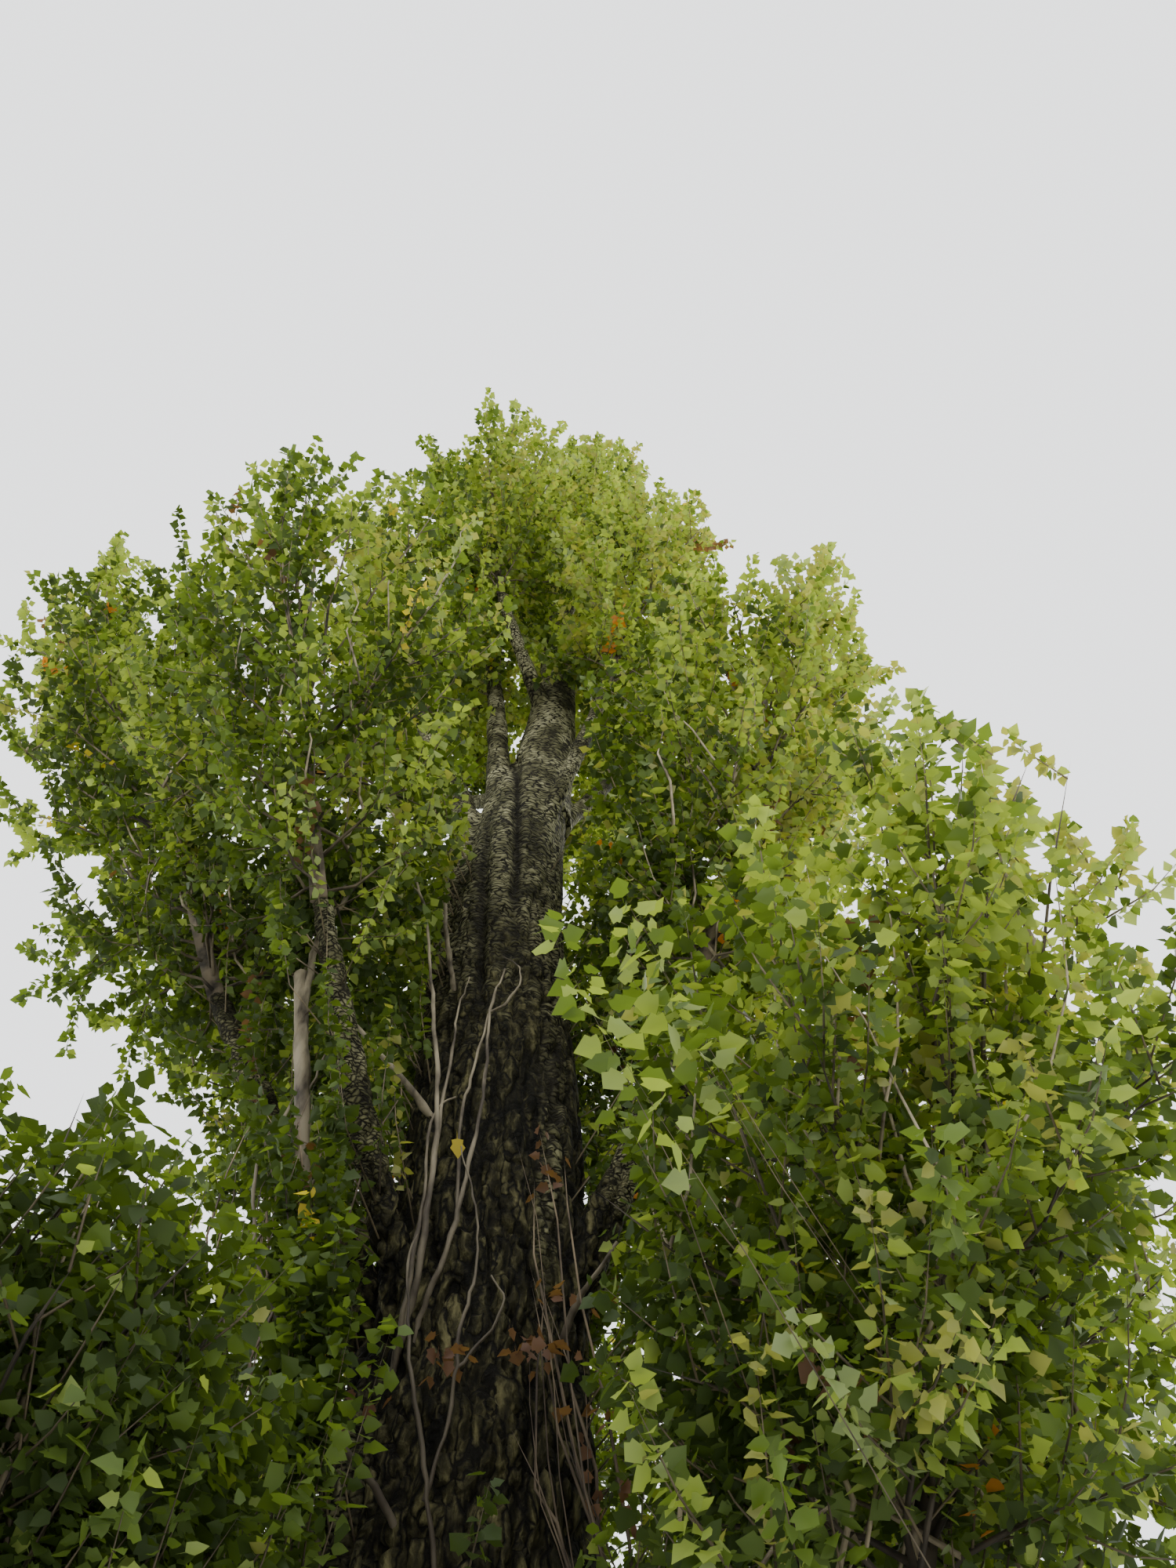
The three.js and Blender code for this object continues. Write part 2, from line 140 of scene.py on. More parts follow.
# The crown is not even: it swells low down at the right front and leaves the left front open there.
OWN_FORM = {
    "low_1": dict(turned=15.0, head_raised=-1.0, fuller=1.12),
    "low_2": dict(turned=4.0, fuller=1.10),
    "low_6": dict(foot_raised=-0.5, head_raised=-2.5),
    "low_7": dict(foot_raised=-0.4, head_raised=-3.2, fuller=0.87, leaning=0.90, wider=0.80),
    "mid_1": dict(turned=3.0, head_raised=-0.3, fuller=1.06),
    "mid_6": dict(turned=6.0, foot_raised=-0.3, fuller=1.14, leaning=1.27, wider=1.05),
    "mid_7": dict(head_raised=-1.5, fuller=1.04),
    "upper_1": dict(turned=-3.0, head_raised=-0.9, wider=0.95),
    "upper_6": dict(turned=-12.0, foot_raised=1.5, head_raised=-0.5, leaning=0.97, wider=1.08),
}
EVEN_FORM = dict(turned=0.0, foot_raised=0.0, head_raised=0.0, fuller=1.0, leaning=1.0, wider=1.0)
LEADERS = {
    "tip": dict(name="leader_main", x=0.070, root_radius=0.276, collar=0.020,
                pulls=((0.250, 0.0, 13.2), (0.180, 0.040, 16.0))),
    "top_2": dict(name="leader_middle", x=-0.200, root_radius=0.116, collar=0.0,
                  pulls=((-0.300, 0.0, 11.9), (-0.620, -0.040, 14.2))),
    "upper_5": dict(name="stem_left", x=-0.450, root_radius=0.100, collar=0.0,
                    pulls=((-0.500, 0.0, 10.5), (-0.900, -0.330, 10.7))),
}
LEADER_BOUGHS = ("upper_3", "upper_4", "upper_6", "top_1", "top_3")
LONG_LEADERS = ("leader_main", "leader_middle")
LEADER_STEPS = 40
BOUGH_STEPS = 18


def dice(seed):
    """Repeatable random numbers between 0 and 1 for one seed."""
    state = seed
    while True:
        state = (state * 1664525 + 1013904223) % 4294967296
        yield state / 4294967296


def polar(radius, degrees, z):
    a = math.radians(degrees)
    return Vector((radius * math.cos(a), radius * math.sin(a), z))


def mix(a, b, t):
    return a + (b - a) * t


def along(stations, z):
    """Value at one or many heights z between stations of (height, value)."""
    heights, values = zip(*stations)
    return np.interp(z, heights, values)


def flare(z):
    """How far the root flare swells beyond the trunk at height z."""
    return FLARE_RADIUS * math.exp(-z / FLARE_HEIGHT)


def plume_point(plume, t):
    return plume["foot"].lerp(plume["head"], t) + plume["out"] * plume["bow"] * math.sin(math.pi * t)


def plume_direction(plume, t):
    return (plume_point(plume, min(t + 0.01, 1.0)) - plume_point(plume, max(t - 0.01, 0.0))).normalized()


def plume_width(plume, t):
    return plume["width"] * math.sin(math.pi * (0.14 + 0.76 * t)) ** 0.7


plumes = []
for row, tier in enumerate(TIERS):
    for i in range(tier["count"]):
        label = f"{tier['name']}_{i + 1}" if tier["count"] > 1 else tier["name"]
        form = {**EVEN_FORM, **OWN_FORM.get(label, {})}
        degrees = tier["first"] + tier["step"] * i + form["turned"]
        wander = dice(101 * (row + 1) + 17 * i)
        next(wander)
        fuller = (1.0 - FULLER_SIDE * math.cos(math.radians(degrees))) * form["fuller"]
        shift = tier["stagger"] * (1 if i % 2 else -1)
        foot_z = tier["foot_z"] + shift * 0.6 + form["foot_raised"]
        head_z = tier["head_z"] + shift + form["head_raised"]
        head_r = tier["head_r"] * fuller * form["leaning"]
        plume = dict(tier=tier, label=label, degrees=degrees, out=polar(1.0, degrees, 0.0))
        plume["foot"] = polar(tier["foot_r"] * fuller, degrees, foot_z)
        plume["head"] = polar(head_r, degrees + 8 * (next(wander) - 0.5), head_z)
        plume["bow"] = 0.0 if tier["name"] == "tip" else 0.12
        plume["width"] = tier["width"] * fuller * form["wider"] * mix(0.94, 1.06, next(wander))
        plume["seed"] = 1009 * (row + 1) + 131 * i
        plumes.append(plume)


def limb_point(limb, t):
    root, pull_root, pull_tip, tip = limb["curve"]
    return (root * (1 - t) ** 3 + pull_root * 3 * t * (1 - t) ** 2
            + pull_tip * 3 * t * t * (1 - t) + tip * t ** 3)


def limb_radius(limb, t):
    return mix(limb["root_radius"], limb["tip_radius"], t) + limb["collar"] * math.exp(-t * 9)


def point_at_height(limb, z):
    low, high = 0.0, 1.0
    for _ in range(30):
        half = (low + high) / 2
        if limb_point(limb, half).z < z:
            low = half
        else:
            high = half
    return limb_point(limb, low)


def leader_for(plume):
    form = LEADERS[plume["label"]]
    pull_root, pull_tip = [Vector(pull) for pull in form["pulls"]]
    curve = (Vector((form["x"], 0.0, FORK_Z)), pull_root, pull_tip, plume["foot"])
    return dict(name=form["name"], plume=plume, curve=curve, root_radius=form["root_radius"],
                tip_radius=plume["tier"]["tip_radius"], collar=form["collar"])


def bough_for(plume, main):
    tier, foot = plume["tier"], plume["foot"]
    if plume["label"] in LEADER_BOUGHS:
        root = point_at_height(main, foot.z - tier["leader_drop"])
    else:
        root_z = foot.z - tier["drop"]
        root = Vector((along(TRUNK_X, root_z), 0.0, root_z))
    run = foot - root
    arrive = (run.normalized() + plume_direction(plume, 0.0)).normalized()
    curve = (root, root + run * 0.36, foot - arrive * run.length * 0.33, foot)
    return dict(name="bough_" + plume["label"], plume=plume, curve=curve, root_radius=tier["limb_radius"],
                tip_radius=tier["tip_radius"], collar=tier["limb_radius"] * 0.45)


leaders = [leader_for(next(p for p in plumes if p["label"] == label)) for label in LEADERS]
limbs = leaders + [bough_for(p, leaders[0]) for p in plumes if p["label"] not in LEADERS]


def raised_column(stations, sides):
    """Round column pulled up ring by ring from a disc. Stations are (x, z, radius)."""
    bpy.ops.object.select_all(action="DESELECT")
    x, z, radius = stations[0]
    bpy.ops.mesh.primitive_circle_add(vertices=sides, radius=radius, fill_type="NGON", location=(x, 0.0, z))
    column = bpy.context.object
    bpy.ops.object.mode_set(mode="EDIT")
    bpy.ops.mesh.select_all(action="SELECT")
    for (x0, z0, r0), (x1, z1, r1) in zip(stations, stations[1:]):
        bpy.ops.mesh.extrude_region_move(TRANSFORM_OT_translate={"value": (x1 - x0, 0.0, z1 - z0)})
        bpy.ops.transform.resize(value=(r1 / r0, r1 / r0, 1.0), center_override=(x1, 0.0, z1))
    bpy.ops.mesh.select_all(action="SELECT")
    bpy.ops.mesh.normals_make_consistent(inside=False)
    bpy.ops.object.mode_set(mode="OBJECT")
    bpy.ops.object.transform_apply(location=True, rotation=True, scale=True)
    return column


def round_limb(points, radii, name):
    """Tapering round limb along a curve, turned into a mesh."""
    curve = bpy.data.curves.new(name, "CURVE")
    curve.dimensions = "3D"
    curve.bevel_depth = 1.0
    curve.bevel_resolution = 5
    curve.use_fill_caps = True
    spline = curve.splines.new("POLY")
    spline.points.add(len(points) - 1)
    for slot, point, radius in zip(spline.points, points, radii):
        slot.co = (*point, 1.0)
        slot.radius = radius
    obj = bpy.data.objects.new(name, curve)
    bpy.context.collection.objects.link(obj)
    bpy.ops.object.select_all(action="DESELECT")
    obj.select_set(True)
    bpy.context.view_layer.objects.active = obj
    bpy.ops.object.convert(target="MESH")
    return bpy.context.object


def joined(parts, name):
    """All parts in one mesh under one name."""
    bpy.ops.object.select_all(action="DESELECT")
    for part in parts:
        part.select_set(True)
    bpy.context.view_layer.objects.active = parts[0]
    bpy.ops.object.join()
    whole = bpy.context.object
    whole.name = name
    whole.data.name = name
    return whole


def rows_of(elements, title):
    """Three numbers of every element of a mesh, such as the place of each vertex, as rows."""
    values = np.empty(len(elements) * 3)
    elements.foreach_get(title, values)
    return values.reshape(-1, 3)


trunk_stations = []
for z in TRUNK_RINGS:
    trunk_stations.append((along(TRUNK_X, z), z, along(TRUNK_R, z) + flare(z)))
trunk_stations.append(TRUNK_TOP)
trunk = raised_column(trunk_stations, TRUNK_SIDES)
for vertex in trunk.data.vertices:
    z = vertex.co.z
    cx = along(TRUNK_X, z)
    bearing = math.atan2(vertex.co.y, vertex.co.x - cx)
    lobe = flare(z) * ROOT_LOBE_DEPTH * math.cos(ROOT_LOBES * bearing - math.pi)
    vertex.co.x += lobe * math.cos(bearing)
    vertex.co.y += lobe * math.sin(bearing)

left_stations = [(along(LEFT_X, z), z, along(LEFT_R, z)) for z in LEFT_RINGS]
wood_parts = [trunk, raised_column(left_stations, LEFT_SIDES)]
for limb in limbs:
    steps = LEADER_STEPS if limb["name"] in LONG_LEADERS else BOUGH_STEPS
    ts = [k / steps for k in range(steps + 1)]
    points, radii = [limb_point(limb, t) for t in ts], [limb_radius(limb, t) for t in ts]
    wood_parts.append(round_limb(points, radii, limb["name"] + "_wood"))

WOOD_VOXEL = 0.021
WOOD_TRIANGLES = 192000
FLUTE_DEPTH = 0.060
LUMP_HEIGHT = 0.014
KNOB_HEIGHT = 0.008
PLATE_HEIGHT = 0.012
FURROW_DEPTH = 0.042
SEAM_DEPTH = 0.055
LEFT_SEAM = [(6.6, -0.06), (7.1, -0.10), (8.5, -0.20), (9.7, -0.25)]
RIGHT_SEAM = [(7.4, 0.05), (8.5, 0.03), (9.8, -0.04), (10.9, -0.13)]

wood = joined(wood_parts, "trunk_and_boughs")
grow = wood.modifiers.new("grown_together", "REMESH")
grow.mode = "VOXEL"
grow.voxel_size = WOOD_VOXEL
bpy.ops.object.modifier_apply(modifier=grow.name)
soften = wood.modifiers.new("soft_crotches", "SMOOTH")
soften.factor = 0.5
soften.iterations = 2
bpy.ops.object.modifier_apply(modifier=soften.name)

shares = [k / LEADER_STEPS for k in range(LEADER_STEPS + 1)]
limb_cloud = np.array([limb_point(limb, t) for limb in limbs for t in shares])
limb_girth = np.array([limb_radius(limb, t) for limb in limbs for t in shares])


def wood_places():
    """Vertices of the wood, how far each lies off the trunk in trunk radii, and how old its bark is."""
    spots = rows_of(wood.data.vertices, "co")
    off_axis = np.hypot(spots[:, 0] - along(TRUNK_X, spots[:, 2]), spots[:, 1])
    off = off_axis / along(TRUNK_R, spots[:, 2])
    old = np.clip((10.8 - spots[:, 2]) / 4.9, 0.0, 1.0)
    old *= np.clip((2.3 - off) / 0.9, 0.55, 1.0)
    return spots, off, np.where(spots[:, 2] < 2.2, 1.0, old)


def furrow_depth(x, y, z):
    """Narrow winding furrows that run up the trunk, 0 on a plate and 1 in the bed of a furrow."""
    wind = noise.noise(Vector((x * 2.0, y * 2.0, z * 0.9))) * 0.30
    long_line = noise.noise(Vector((x * 10.0 + wind * 4, y * 10.0 - wind * 4, z * 1.7)))
    short_line = noise.noise(Vector((x * 14.0, y * 14.0, z * 7.5 + 3.0)))
    deep = math.exp(-(long_line / 0.11) ** 2)
    shallow = math.exp(-(short_line / 0.09) ** 2)
    return min(1.0, deep + 0.55 * shallow)


def seam_depth(x, y, z):
    """Creases on the front of the trunk where the left stem and the two leaders have grown together."""
    if y > 0.0 or z < 6.6 or z > 10.9:
        return 0.0
    left = math.exp(-((x - along(LEFT_SEAM, z)) / 0.032) ** 2) * min(1.0, max(0.0, (9.7 - z) / 0.8))
    right = math.exp(-((x - along(RIGHT_SEAM, z)) / 0.036) ** 2) * min(1.0, max(0.0, (z - 7.4) / 0.8))
    return max(left, right) * min(1.0, (z - 6.6) / 0.5)


def pale_bark_and_painted_light(x, y, z):
    """How far the bark is paler on the front, on the left buttress low down and on the right front of the
    trunk: partly pale bark, partly painted light on these faces.
    """
    left = 1.15 * math.exp(-((x + 0.41) / 0.17) ** 2 - ((z - 3.6) / 0.95) ** 2)
    right = 0.60 * math.exp(-((x - 0.33) / 0.07) ** 2 - ((z - 5.9) / 1.1) ** 2)
    return (left + right) if y < 0 else 0.0


# The bark stands in plates between deep furrows on the old trunk and is nearly even on young wood.
places, off_trunk, oldness = wood_places()
facings = rows_of(wood.data.vertex_normals, "vector")
relief = np.zeros(len(places))
for v, (x, y, z) in enumerate(places):
    old = oldness[v]
    flute = noise.noise(Vector((x * 2.6, y * 2.6, z * 0.22))) * FLUTE_DEPTH * old
    lump = noise.noise(Vector((x * 3.1, y * 3.1, z * 1.9 + 7.0))) * LUMP_HEIGHT
    knob = noise.noise(Vector((x * 9.0, y * 9.0, z * 12.0))) * KNOB_HEIGHT * (1.0 - old)
    plate = PLATE_HEIGHT - furrow_depth(x, y, z) * FURROW_DEPTH
    relief[v] = flute + lump + knob + plate * max(old, 0.12)
    relief[v] -= SEAM_DEPTH * seam_depth(x, y, z)
relief *= (np.where((off_trunk > 1.9) & (places[:, 2] > 1.0), 0.6, 1.0)
           * np.clip(places[:, 2] / 0.10, 0.0, 1.0))
places += facings * relief[:, None]
places[:, 2] = np.maximum(places[:, 2], 0.0)
wood.data.vertices.foreach_set("co", places.ravel())
wood.data.update()
thin = wood.modifiers.new("fewer_faces", "DECIMATE")
thin.ratio = min(1.0, WOOD_TRIANGLES / (2 * len(wood.data.polygons)))
bpy.ops.object.modifier_apply(modifier=thin.name)

places, off_trunk, oldness = wood_places()
slender = np.clip((off_trunk - 1.25) / 0.35, 0.0, 1.0)
slender = np.maximum(slender, np.clip((places[:, 2] - 12.5) / 1.5, 0.0, 1.0))
# The mark of how old the bark is also paints shade: it grows towards the foot, where its darker bark is
# painted shade, and drops on the pale patches, which are partly painted light. The furrow mark darkens
# furrows and the seams between the stems as painted shade.
marks = {
    "age_and_shade": [old * (1.0 - 0.75 * pale_bark_and_painted_light(*spot)) for old, spot in zip(oldness, places)],
    "slender": slender,
    "furrow": [max(furrow_depth(*spot) * max(old, 0.2), seam_depth(*spot))
               for old, spot in zip(oldness, places)],
}
for title, values in marks.items():
    mark = wood.data.attributes.new(title, "FLOAT", "POINT")
    mark.data.foreach_set("value", np.asarray(values, dtype=np.float32))
bpy.ops.object.select_all(action="DESELECT")
wood.select_set(True)
bpy.context.view_layer.objects.active = wood
bpy.ops.object.shade_smooth()


def new_material(name):
    """Material with nodes, its node tree and its shader."""
    material = bpy.data.materials.new(name)
    material.use_nodes = True
    return material, material.node_tree, material.node_tree.nodes["Principled BSDF"]


def wire(tree, node, inputs):
    """Give each named input of a node its value, or link it to the output of another node."""
    for key, value in inputs.items():
        if isinstance(value, bpy.types.NodeSocket):
            tree.links.new(value, node.inputs[key])
        else:
            node.inputs[key].default_value = value
    return node


def add_node(tree, kind, inputs, **settings):
    """New shader node with its settings and its inputs."""
    node = tree.nodes.new("ShaderNode" + kind)
    for title, value in settings.items():
        setattr(node, title, value)
    return wire(tree, node, inputs)


def blended(tree, factor, a, b):
    """Colour between the colours a and b."""
    node = add_node(tree, "Mix", {"Factor": factor}, data_type="RGBA")
    sockets = [n for n in node.inputs if n.enabled and n.name in ("A", "B")]
    tree.links.new(a, sockets[0])
    tree.links.new(b, sockets[1])
    return next(n for n in node.outputs if n.enabled)


def poplar_bark():
    """Dark furrowed bark on old wood and pale cracked plates on young wood, blended by how old the wood is;
    painted shade darkens the low trunk, its furrows and the seams.
    """
    material, tree, shader = new_material("poplar_bark")
    place = add_node(tree, "TexCoord", {}).outputs["Object"]

    def stretched(vector, stretch):
        return add_node(tree, "Mapping", {"Vector": vector, "Scale": stretch}).outputs["Vector"]

    def grain(vector, stretch, scale, detail):
        return add_node(tree, "TexNoise", {
            "Vector": stretched(vector, stretch), "Scale": scale, "Detail": detail, "Roughness": 0.62})

    def plates(vector, stretch):
        node = add_node(tree, "TexVoronoi", {"Vector": stretched(vector, stretch), "Scale": 1.0},
                        feature="DISTANCE_TO_EDGE")
        return node.outputs["Distance"]

    def measured(name):
        return add_node(tree, "Attribute", {}, attribute_name=name).outputs["Fac"]

    def reckon(way, a, b, c=0.0):
        return add_node(tree, "Math", {0: a, 1: b, 2: c}, operation=way).outputs["Value"]

    def blend(factor, a, b):
        return blended(tree, factor, a, b)

    def ramp(value, *stops):
        node = add_node(tree, "ValToRGB", {"Fac": value})
        points = node.color_ramp.elements
        points[0].position, points[0].color = stops[0][0], (*stops[0][1], 1.0)
        points[1].position, points[1].color = stops[-1][0], (*stops[-1][1], 1.0)
        for position, colour in stops[1:-1]:
            points.new(position).color = (*colour, 1.0)
        return node.outputs["Color"]

    white, black = (1.0, 1.0, 1.0), (0.0, 0.0, 0.0)

    # Every pattern runs on a place that wanders a little, so that no crack is straight.
    drift = grain(place, (1.0, 1.0, 1.0), 4.5, 3.0).outputs["Color"]
    wander = add_node(tree, "VectorMath", {0: drift, 1: (0.11, 0.11, 0.11), 2: place},
                      operation="MULTIPLY_ADD")
    bent = wander.outputs["Vector"]

    age_and_shade, furrow, slender = measured("age_and_shade"), measured("furrow"), measured("slender")
    fibres = grain(bent, (1.0, 1.0, 0.22), 24.0, 5.0).outputs["Fac"]
    blotches = grain(place, (1.0, 1.0, 0.7), 3.1, 4.0).outputs["Fac"]
    speckle = grain(place, (1.0, 1.0, 1.0), 16.0, 4.0).outputs["Fac"]

    # Old bark: narrow upright plates, their edges going to the dark furrow-bed colour where the speckle is
    # weak.
    old_plates = reckon("SUBTRACT", plates(bent, (17.0, 17.0, 4.2)), 0.16)
    old_edge = reckon("MULTIPLY_ADD", speckle, 0.35, old_plates)
    # Painted shade: the plate and bed colours are darkened nearly to black for the deep shade round the low
    # trunk, and the near-black beds in the furrows and plate cracks are painted shade in these recesses.
    plate = ramp(fibres, (0.32, (0.006, 0.005, 0.003)), (0.50, (0.032, 0.029, 0.013)),
                 (0.68, (0.138, 0.124, 0.057)))
    bed = ramp(fibres, (0.35, (0.002, 0.002, 0.001)), (0.65, (0.009, 0.008, 0.006)))
    old_crack = ramp(old_edge, (0.04, white), (0.13, black))
    old = blend(furrow, blend(old_crack, plate, bed), bed)

    # Young bark: pale, in small wide plates between short dark cracks, dimmer on older wood towards the
    # foot, which is painted shade.
    wide_plates, fine_plates = plates(bent, (13.0, 13.0, 27.0)), plates(bent, (30.0, 30.0, 52.0))
    fine_share = reckon("MULTIPLY", reckon("SUBTRACT", fine_plates, wide_plates), slender)
    young_plates = reckon("SUBTRACT", reckon("ADD", wide_plates, fine_share), 0.19)
    young_edge = reckon("MULTIPLY_ADD", speckle, 0.40, young_plates)
    pale = ramp(blotches, (0.36, (0.045, 0.043, 0.022)), (0.47, (0.148, 0.141, 0.072)),
                (0.58, (0.385, 0.368, 0.215)))
    dim = ramp(blotches, (0.38, (0.029, 0.028, 0.012)), (0.58, (0.130, 0.121, 0.056)))
    pale = blend(age_and_shade, pale, dim)
    slit = ramp(fibres, (0.35, (0.006, 0.005, 0.003)), (0.65, (0.027, 0.024, 0.016)))
    young = blend(ramp(young_edge, (0.06, white), (0.14, black)), pale, slit)
    # Painted shade: the dark slit colour also fills the furrows and the seams between the stems.
    young = blend(furrow, young, slit)
    patches = reckon("MULTIPLY_ADD", speckle, 0.9, reckon("SUBTRACT", age_and_shade, 0.68))
    patchy = ramp(patches, (0.38, black), (0.62, white))

    rough = add_node(tree, "MapRange", {"Value": fibres, "To Min": 0.72, "To Max": 0.95})
    young_rise = ramp(young_edge, (0.0, black), (0.25, white))
    old_rise = ramp(old_edge, (0.0, black), (0.30, white))
    relief_map = reckon("MULTIPLY_ADD", fibres, 0.8, blend(patchy, young_rise, old_rise))
    bump = add_node(tree, "Bump", {"Strength": 0.9, "Distance": 0.022, "Height": relief_map})
    wire(tree, shader, {
        "Base Color": blend(patchy, young, old), "Specular IOR Level": 0.1,
        "Roughness": rough.outputs["Result"], "Normal": bump.outputs["Normal"]})
    return material


wood.data.materials.clear()
wood.data.materials.append(poplar_bark())
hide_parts("trunk", *[limb["name"] for limb in limbs])
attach(wood, "root")

# Dead shoots on the trunk
# Dry barkless shoots, finger-thick, that once sprouted from the trunk and died in its shade, with one
# broken bough at the left. They stand off the front of the trunk, fork once or twice and curl at their tips.
DEAD_SHOOTS = {
    "main_stalk": (0.013, 0.006, [
        (-0.16, -0.30, 4.58), (-0.11, -0.46, 4.79), (-0.05, -0.54, 4.93), (-0.01, -0.60, 5.13),
        (0.02, -0.64, 5.44), (0.04, -0.66, 5.90), (0.02, -0.66, 6.40), (0.07, -0.66, 6.75)]),
    "curl": (0.007, 0.003, [
        (0.02, -0.66, 6.38), (0.09, -0.68, 6.42), (0.14, -0.70, 6.50), (0.16, -0.70, 6.64),
        (0.12, -0.68, 6.79), (0.06, -0.66, 6.86)]),
    "pair_stalk": (0.008, 0.005, [
        (-0.01, -0.60, 5.13), (-0.05, -0.60, 5.65), (-0.02, -0.63, 5.97), (0.01, -0.66, 6.36)]),
    "left_long": (0.015, 0.004, [
        (-0.22, -0.30, 4.60), (-0.16, -0.46, 4.80), (-0.14, -0.58, 5.36), (-0.16, -0.60, 5.72),
        (-0.22, -0.62, 6.18), (-0.32, -0.64, 6.78), (-0.46, -0.70, 7.50), (-0.58, -0.72, 7.80),
        (-0.67, -0.76, 7.95), (-0.72, -0.80, 7.90)]),
    "left_fork": (0.006, 0.003, [
        (-0.46, -0.70, 7.50), (-0.64, -0.74, 7.68), (-0.80, -0.78, 7.78)]),
    "hook": (0.009, 0.003, [
        (-0.14, -0.59, 5.50), (-0.14, -0.60, 6.17), (-0.14, -0.60, 6.56), (-0.11, -0.60, 6.77)]),
    "short_one": (0.011, 0.004, [
        (-0.20, -0.34, 4.60), (-0.17, -0.50, 4.79), (-0.16, -0.56, 5.26), (-0.16, -0.60, 5.72),
        (-0.09, -0.60, 5.82)]),
    "low_stalk": (0.010, 0.004, [
        (0.05, -0.36, 3.60), (0.04, -0.48, 3.84), (-0.01, -0.56, 4.09), (-0.09, -0.62, 4.38),
        (-0.13, -0.64, 4.62), (-0.16, -0.64, 4.81), (-0.15, -0.62, 4.98)]),
    "low_fork": (0.008, 0.003, [
        (0.00, -0.52, 4.00), (0.05, -0.58, 4.29), (0.06, -0.62, 4.55), (0.09, -0.62, 4.85),
        (0.05, -0.64, 5.17), (-0.03, -0.64, 5.44)]),
    "low_curl": (0.006, 0.003, [
        (0.05, -0.60, 4.40), (0.18, -0.62, 4.59), (0.20, -0.62, 4.68), (0.15, -0.60, 4.81)]),
    "left_arm": (0.014, 0.006, [
        (0.00, -0.30, 3.85), (-0.11, -0.46, 4.00), (-0.30, -0.60, 4.17), (-0.43, -0.70, 4.33),
        (-0.61, -0.80, 4.58), (-0.70, -0.80, 4.80), (-0.79, -0.78, 5.25), (-0.76, -0.72, 5.60)]),
    "arm_loop": (0.008, 0.003, [
        (-0.61, -0.80, 4.58), (-0.53, -0.76, 4.86), (-0.50, -0.72, 4.98), (-0.57, -0.70, 5.50)]),
    "broken_bough": (0.040, 0.033, [
        (-0.28, -0.10, 4.20), (-0.50, -0.36, 4.75), (-0.66, -0.60, 5.30), (-0.74, -0.66, 5.70),
        (-0.86, -0.66, 6.21), (-0.97, -0.66, 6.70)]),
    "bough_arm": (0.022, 0.013, [
        (-0.84, -0.66, 6.10), (-0.91, -0.67, 6.60), (-0.94, -0.68, 7.13), (-0.89, -0.68, 7.39),
        (-0.83, -0.66, 7.83)]),
    "bough_twig": (0.007, 0.003, [
        (-0.74, -0.66, 5.60), (-0.72, -0.66, 5.93), (-0.70, -0.64, 6.30)]),
    "slanting": (0.020, 0.008, [
        (-0.18, -0.24, 6.00), (-0.39, -0.40, 6.19), (-0.64, -0.45, 6.50), (-0.96, -0.45, 7.00)]),
    "short_snag": (0.016, 0.010, [
        (-0.24, -0.26, 7.10), (-0.31, -0.47, 7.40), (-0.35, -0.55, 7.78)]),
    "right_snag": (0.016, 0.009, [
        (0.38, -0.26, 4.74), (0.46, -0.42, 4.86), (0.53, -0.50, 4.91), (0.62, -0.56, 5.00)]),
}
WOBBLE_SEED = 4711
DEAD_WOBBLE = 0.012

dead_parts = []
for name, (root_girth, tip_girth, stops) in DEAD_SHOOTS.items():
    bpy.ops.object.select_all(action="DESELECT")
    bpy.ops.curve.primitive_bezier_curve_add()
    shoot = bpy.context.object
    shoot.name = "dead_" + name
    shoot.data.bevel_depth = 1.0
    shoot.data.bevel_resolution = 2
    shoot.data.resolution_u = 6
    shoot.data.use_fill_caps = True
    knots = shoot.data.splines[0].bezier_points
    knots.add(len(stops) - 2)
    for k, (knot, stop) in enumerate(zip(knots, stops)):
        knot.handle_left_type = knot.handle_right_type = "AUTO"
        knot.co = stop
        knot.radius = mix(root_girth, tip_girth, k / (len(stops) - 1))
    bpy.ops.object.convert(target="MESH")
    dead_parts.append(bpy.context.object)
dead_wood = joined(dead_parts, "dead_shoots")
knobs = rows_of(dead_wood.data.vertices, "co")
noise.seed_set(WOBBLE_SEED)
knobs += [noise.noise_vector(Vector(spot) * 14.0) * DEAD_WOBBLE for spot in knobs]
dead_wood.data.vertices.foreach_set("co", knobs.ravel())
dead_wood.data.update()
bpy.ops.object.shade_smooth()

streaked = bpy.data.node_groups.new("streaked_wood", "ShaderNodeTree")
for title in ("Dark", "Light"):
    streaked.interface.new_socket(title, in_out="INPUT", socket_type="NodeSocketColor")
for title in ("Scale", "Length", "Painted Shade Below", "Painted Shade Ends Above"):
    streaked.interface.new_socket(title, in_out="INPUT", socket_type="NodeSocketFloat")
streaked.interface.new_socket("Color", in_out="OUTPUT", socket_type="NodeSocketColor")
streaked.interface.new_socket("Height", in_out="OUTPUT", socket_type="NodeSocketFloat")
given = streaked.nodes.new("NodeGroupInput").outputs
place = add_node(streaked, "TexCoord", {}).outputs["Object"]
lengthwise = add_node(streaked, "CombineXYZ", {"X": 1.0, "Y": 1.0, "Z": given["Length"]})
drawn_out = add_node(streaked, "VectorMath", {0: place, 1: lengthwise.outputs["Vector"]},
                     operation="MULTIPLY")
streaks = add_node(streaked, "TexNoise", {
    "Vector": drawn_out.outputs["Vector"], "Scale": given["Scale"], "Detail": 4.0}).outputs["Fac"]
share = add_node(streaked, "MapRange", {"Value": streaks, "From Min": 0.36, "From Max": 0.62})
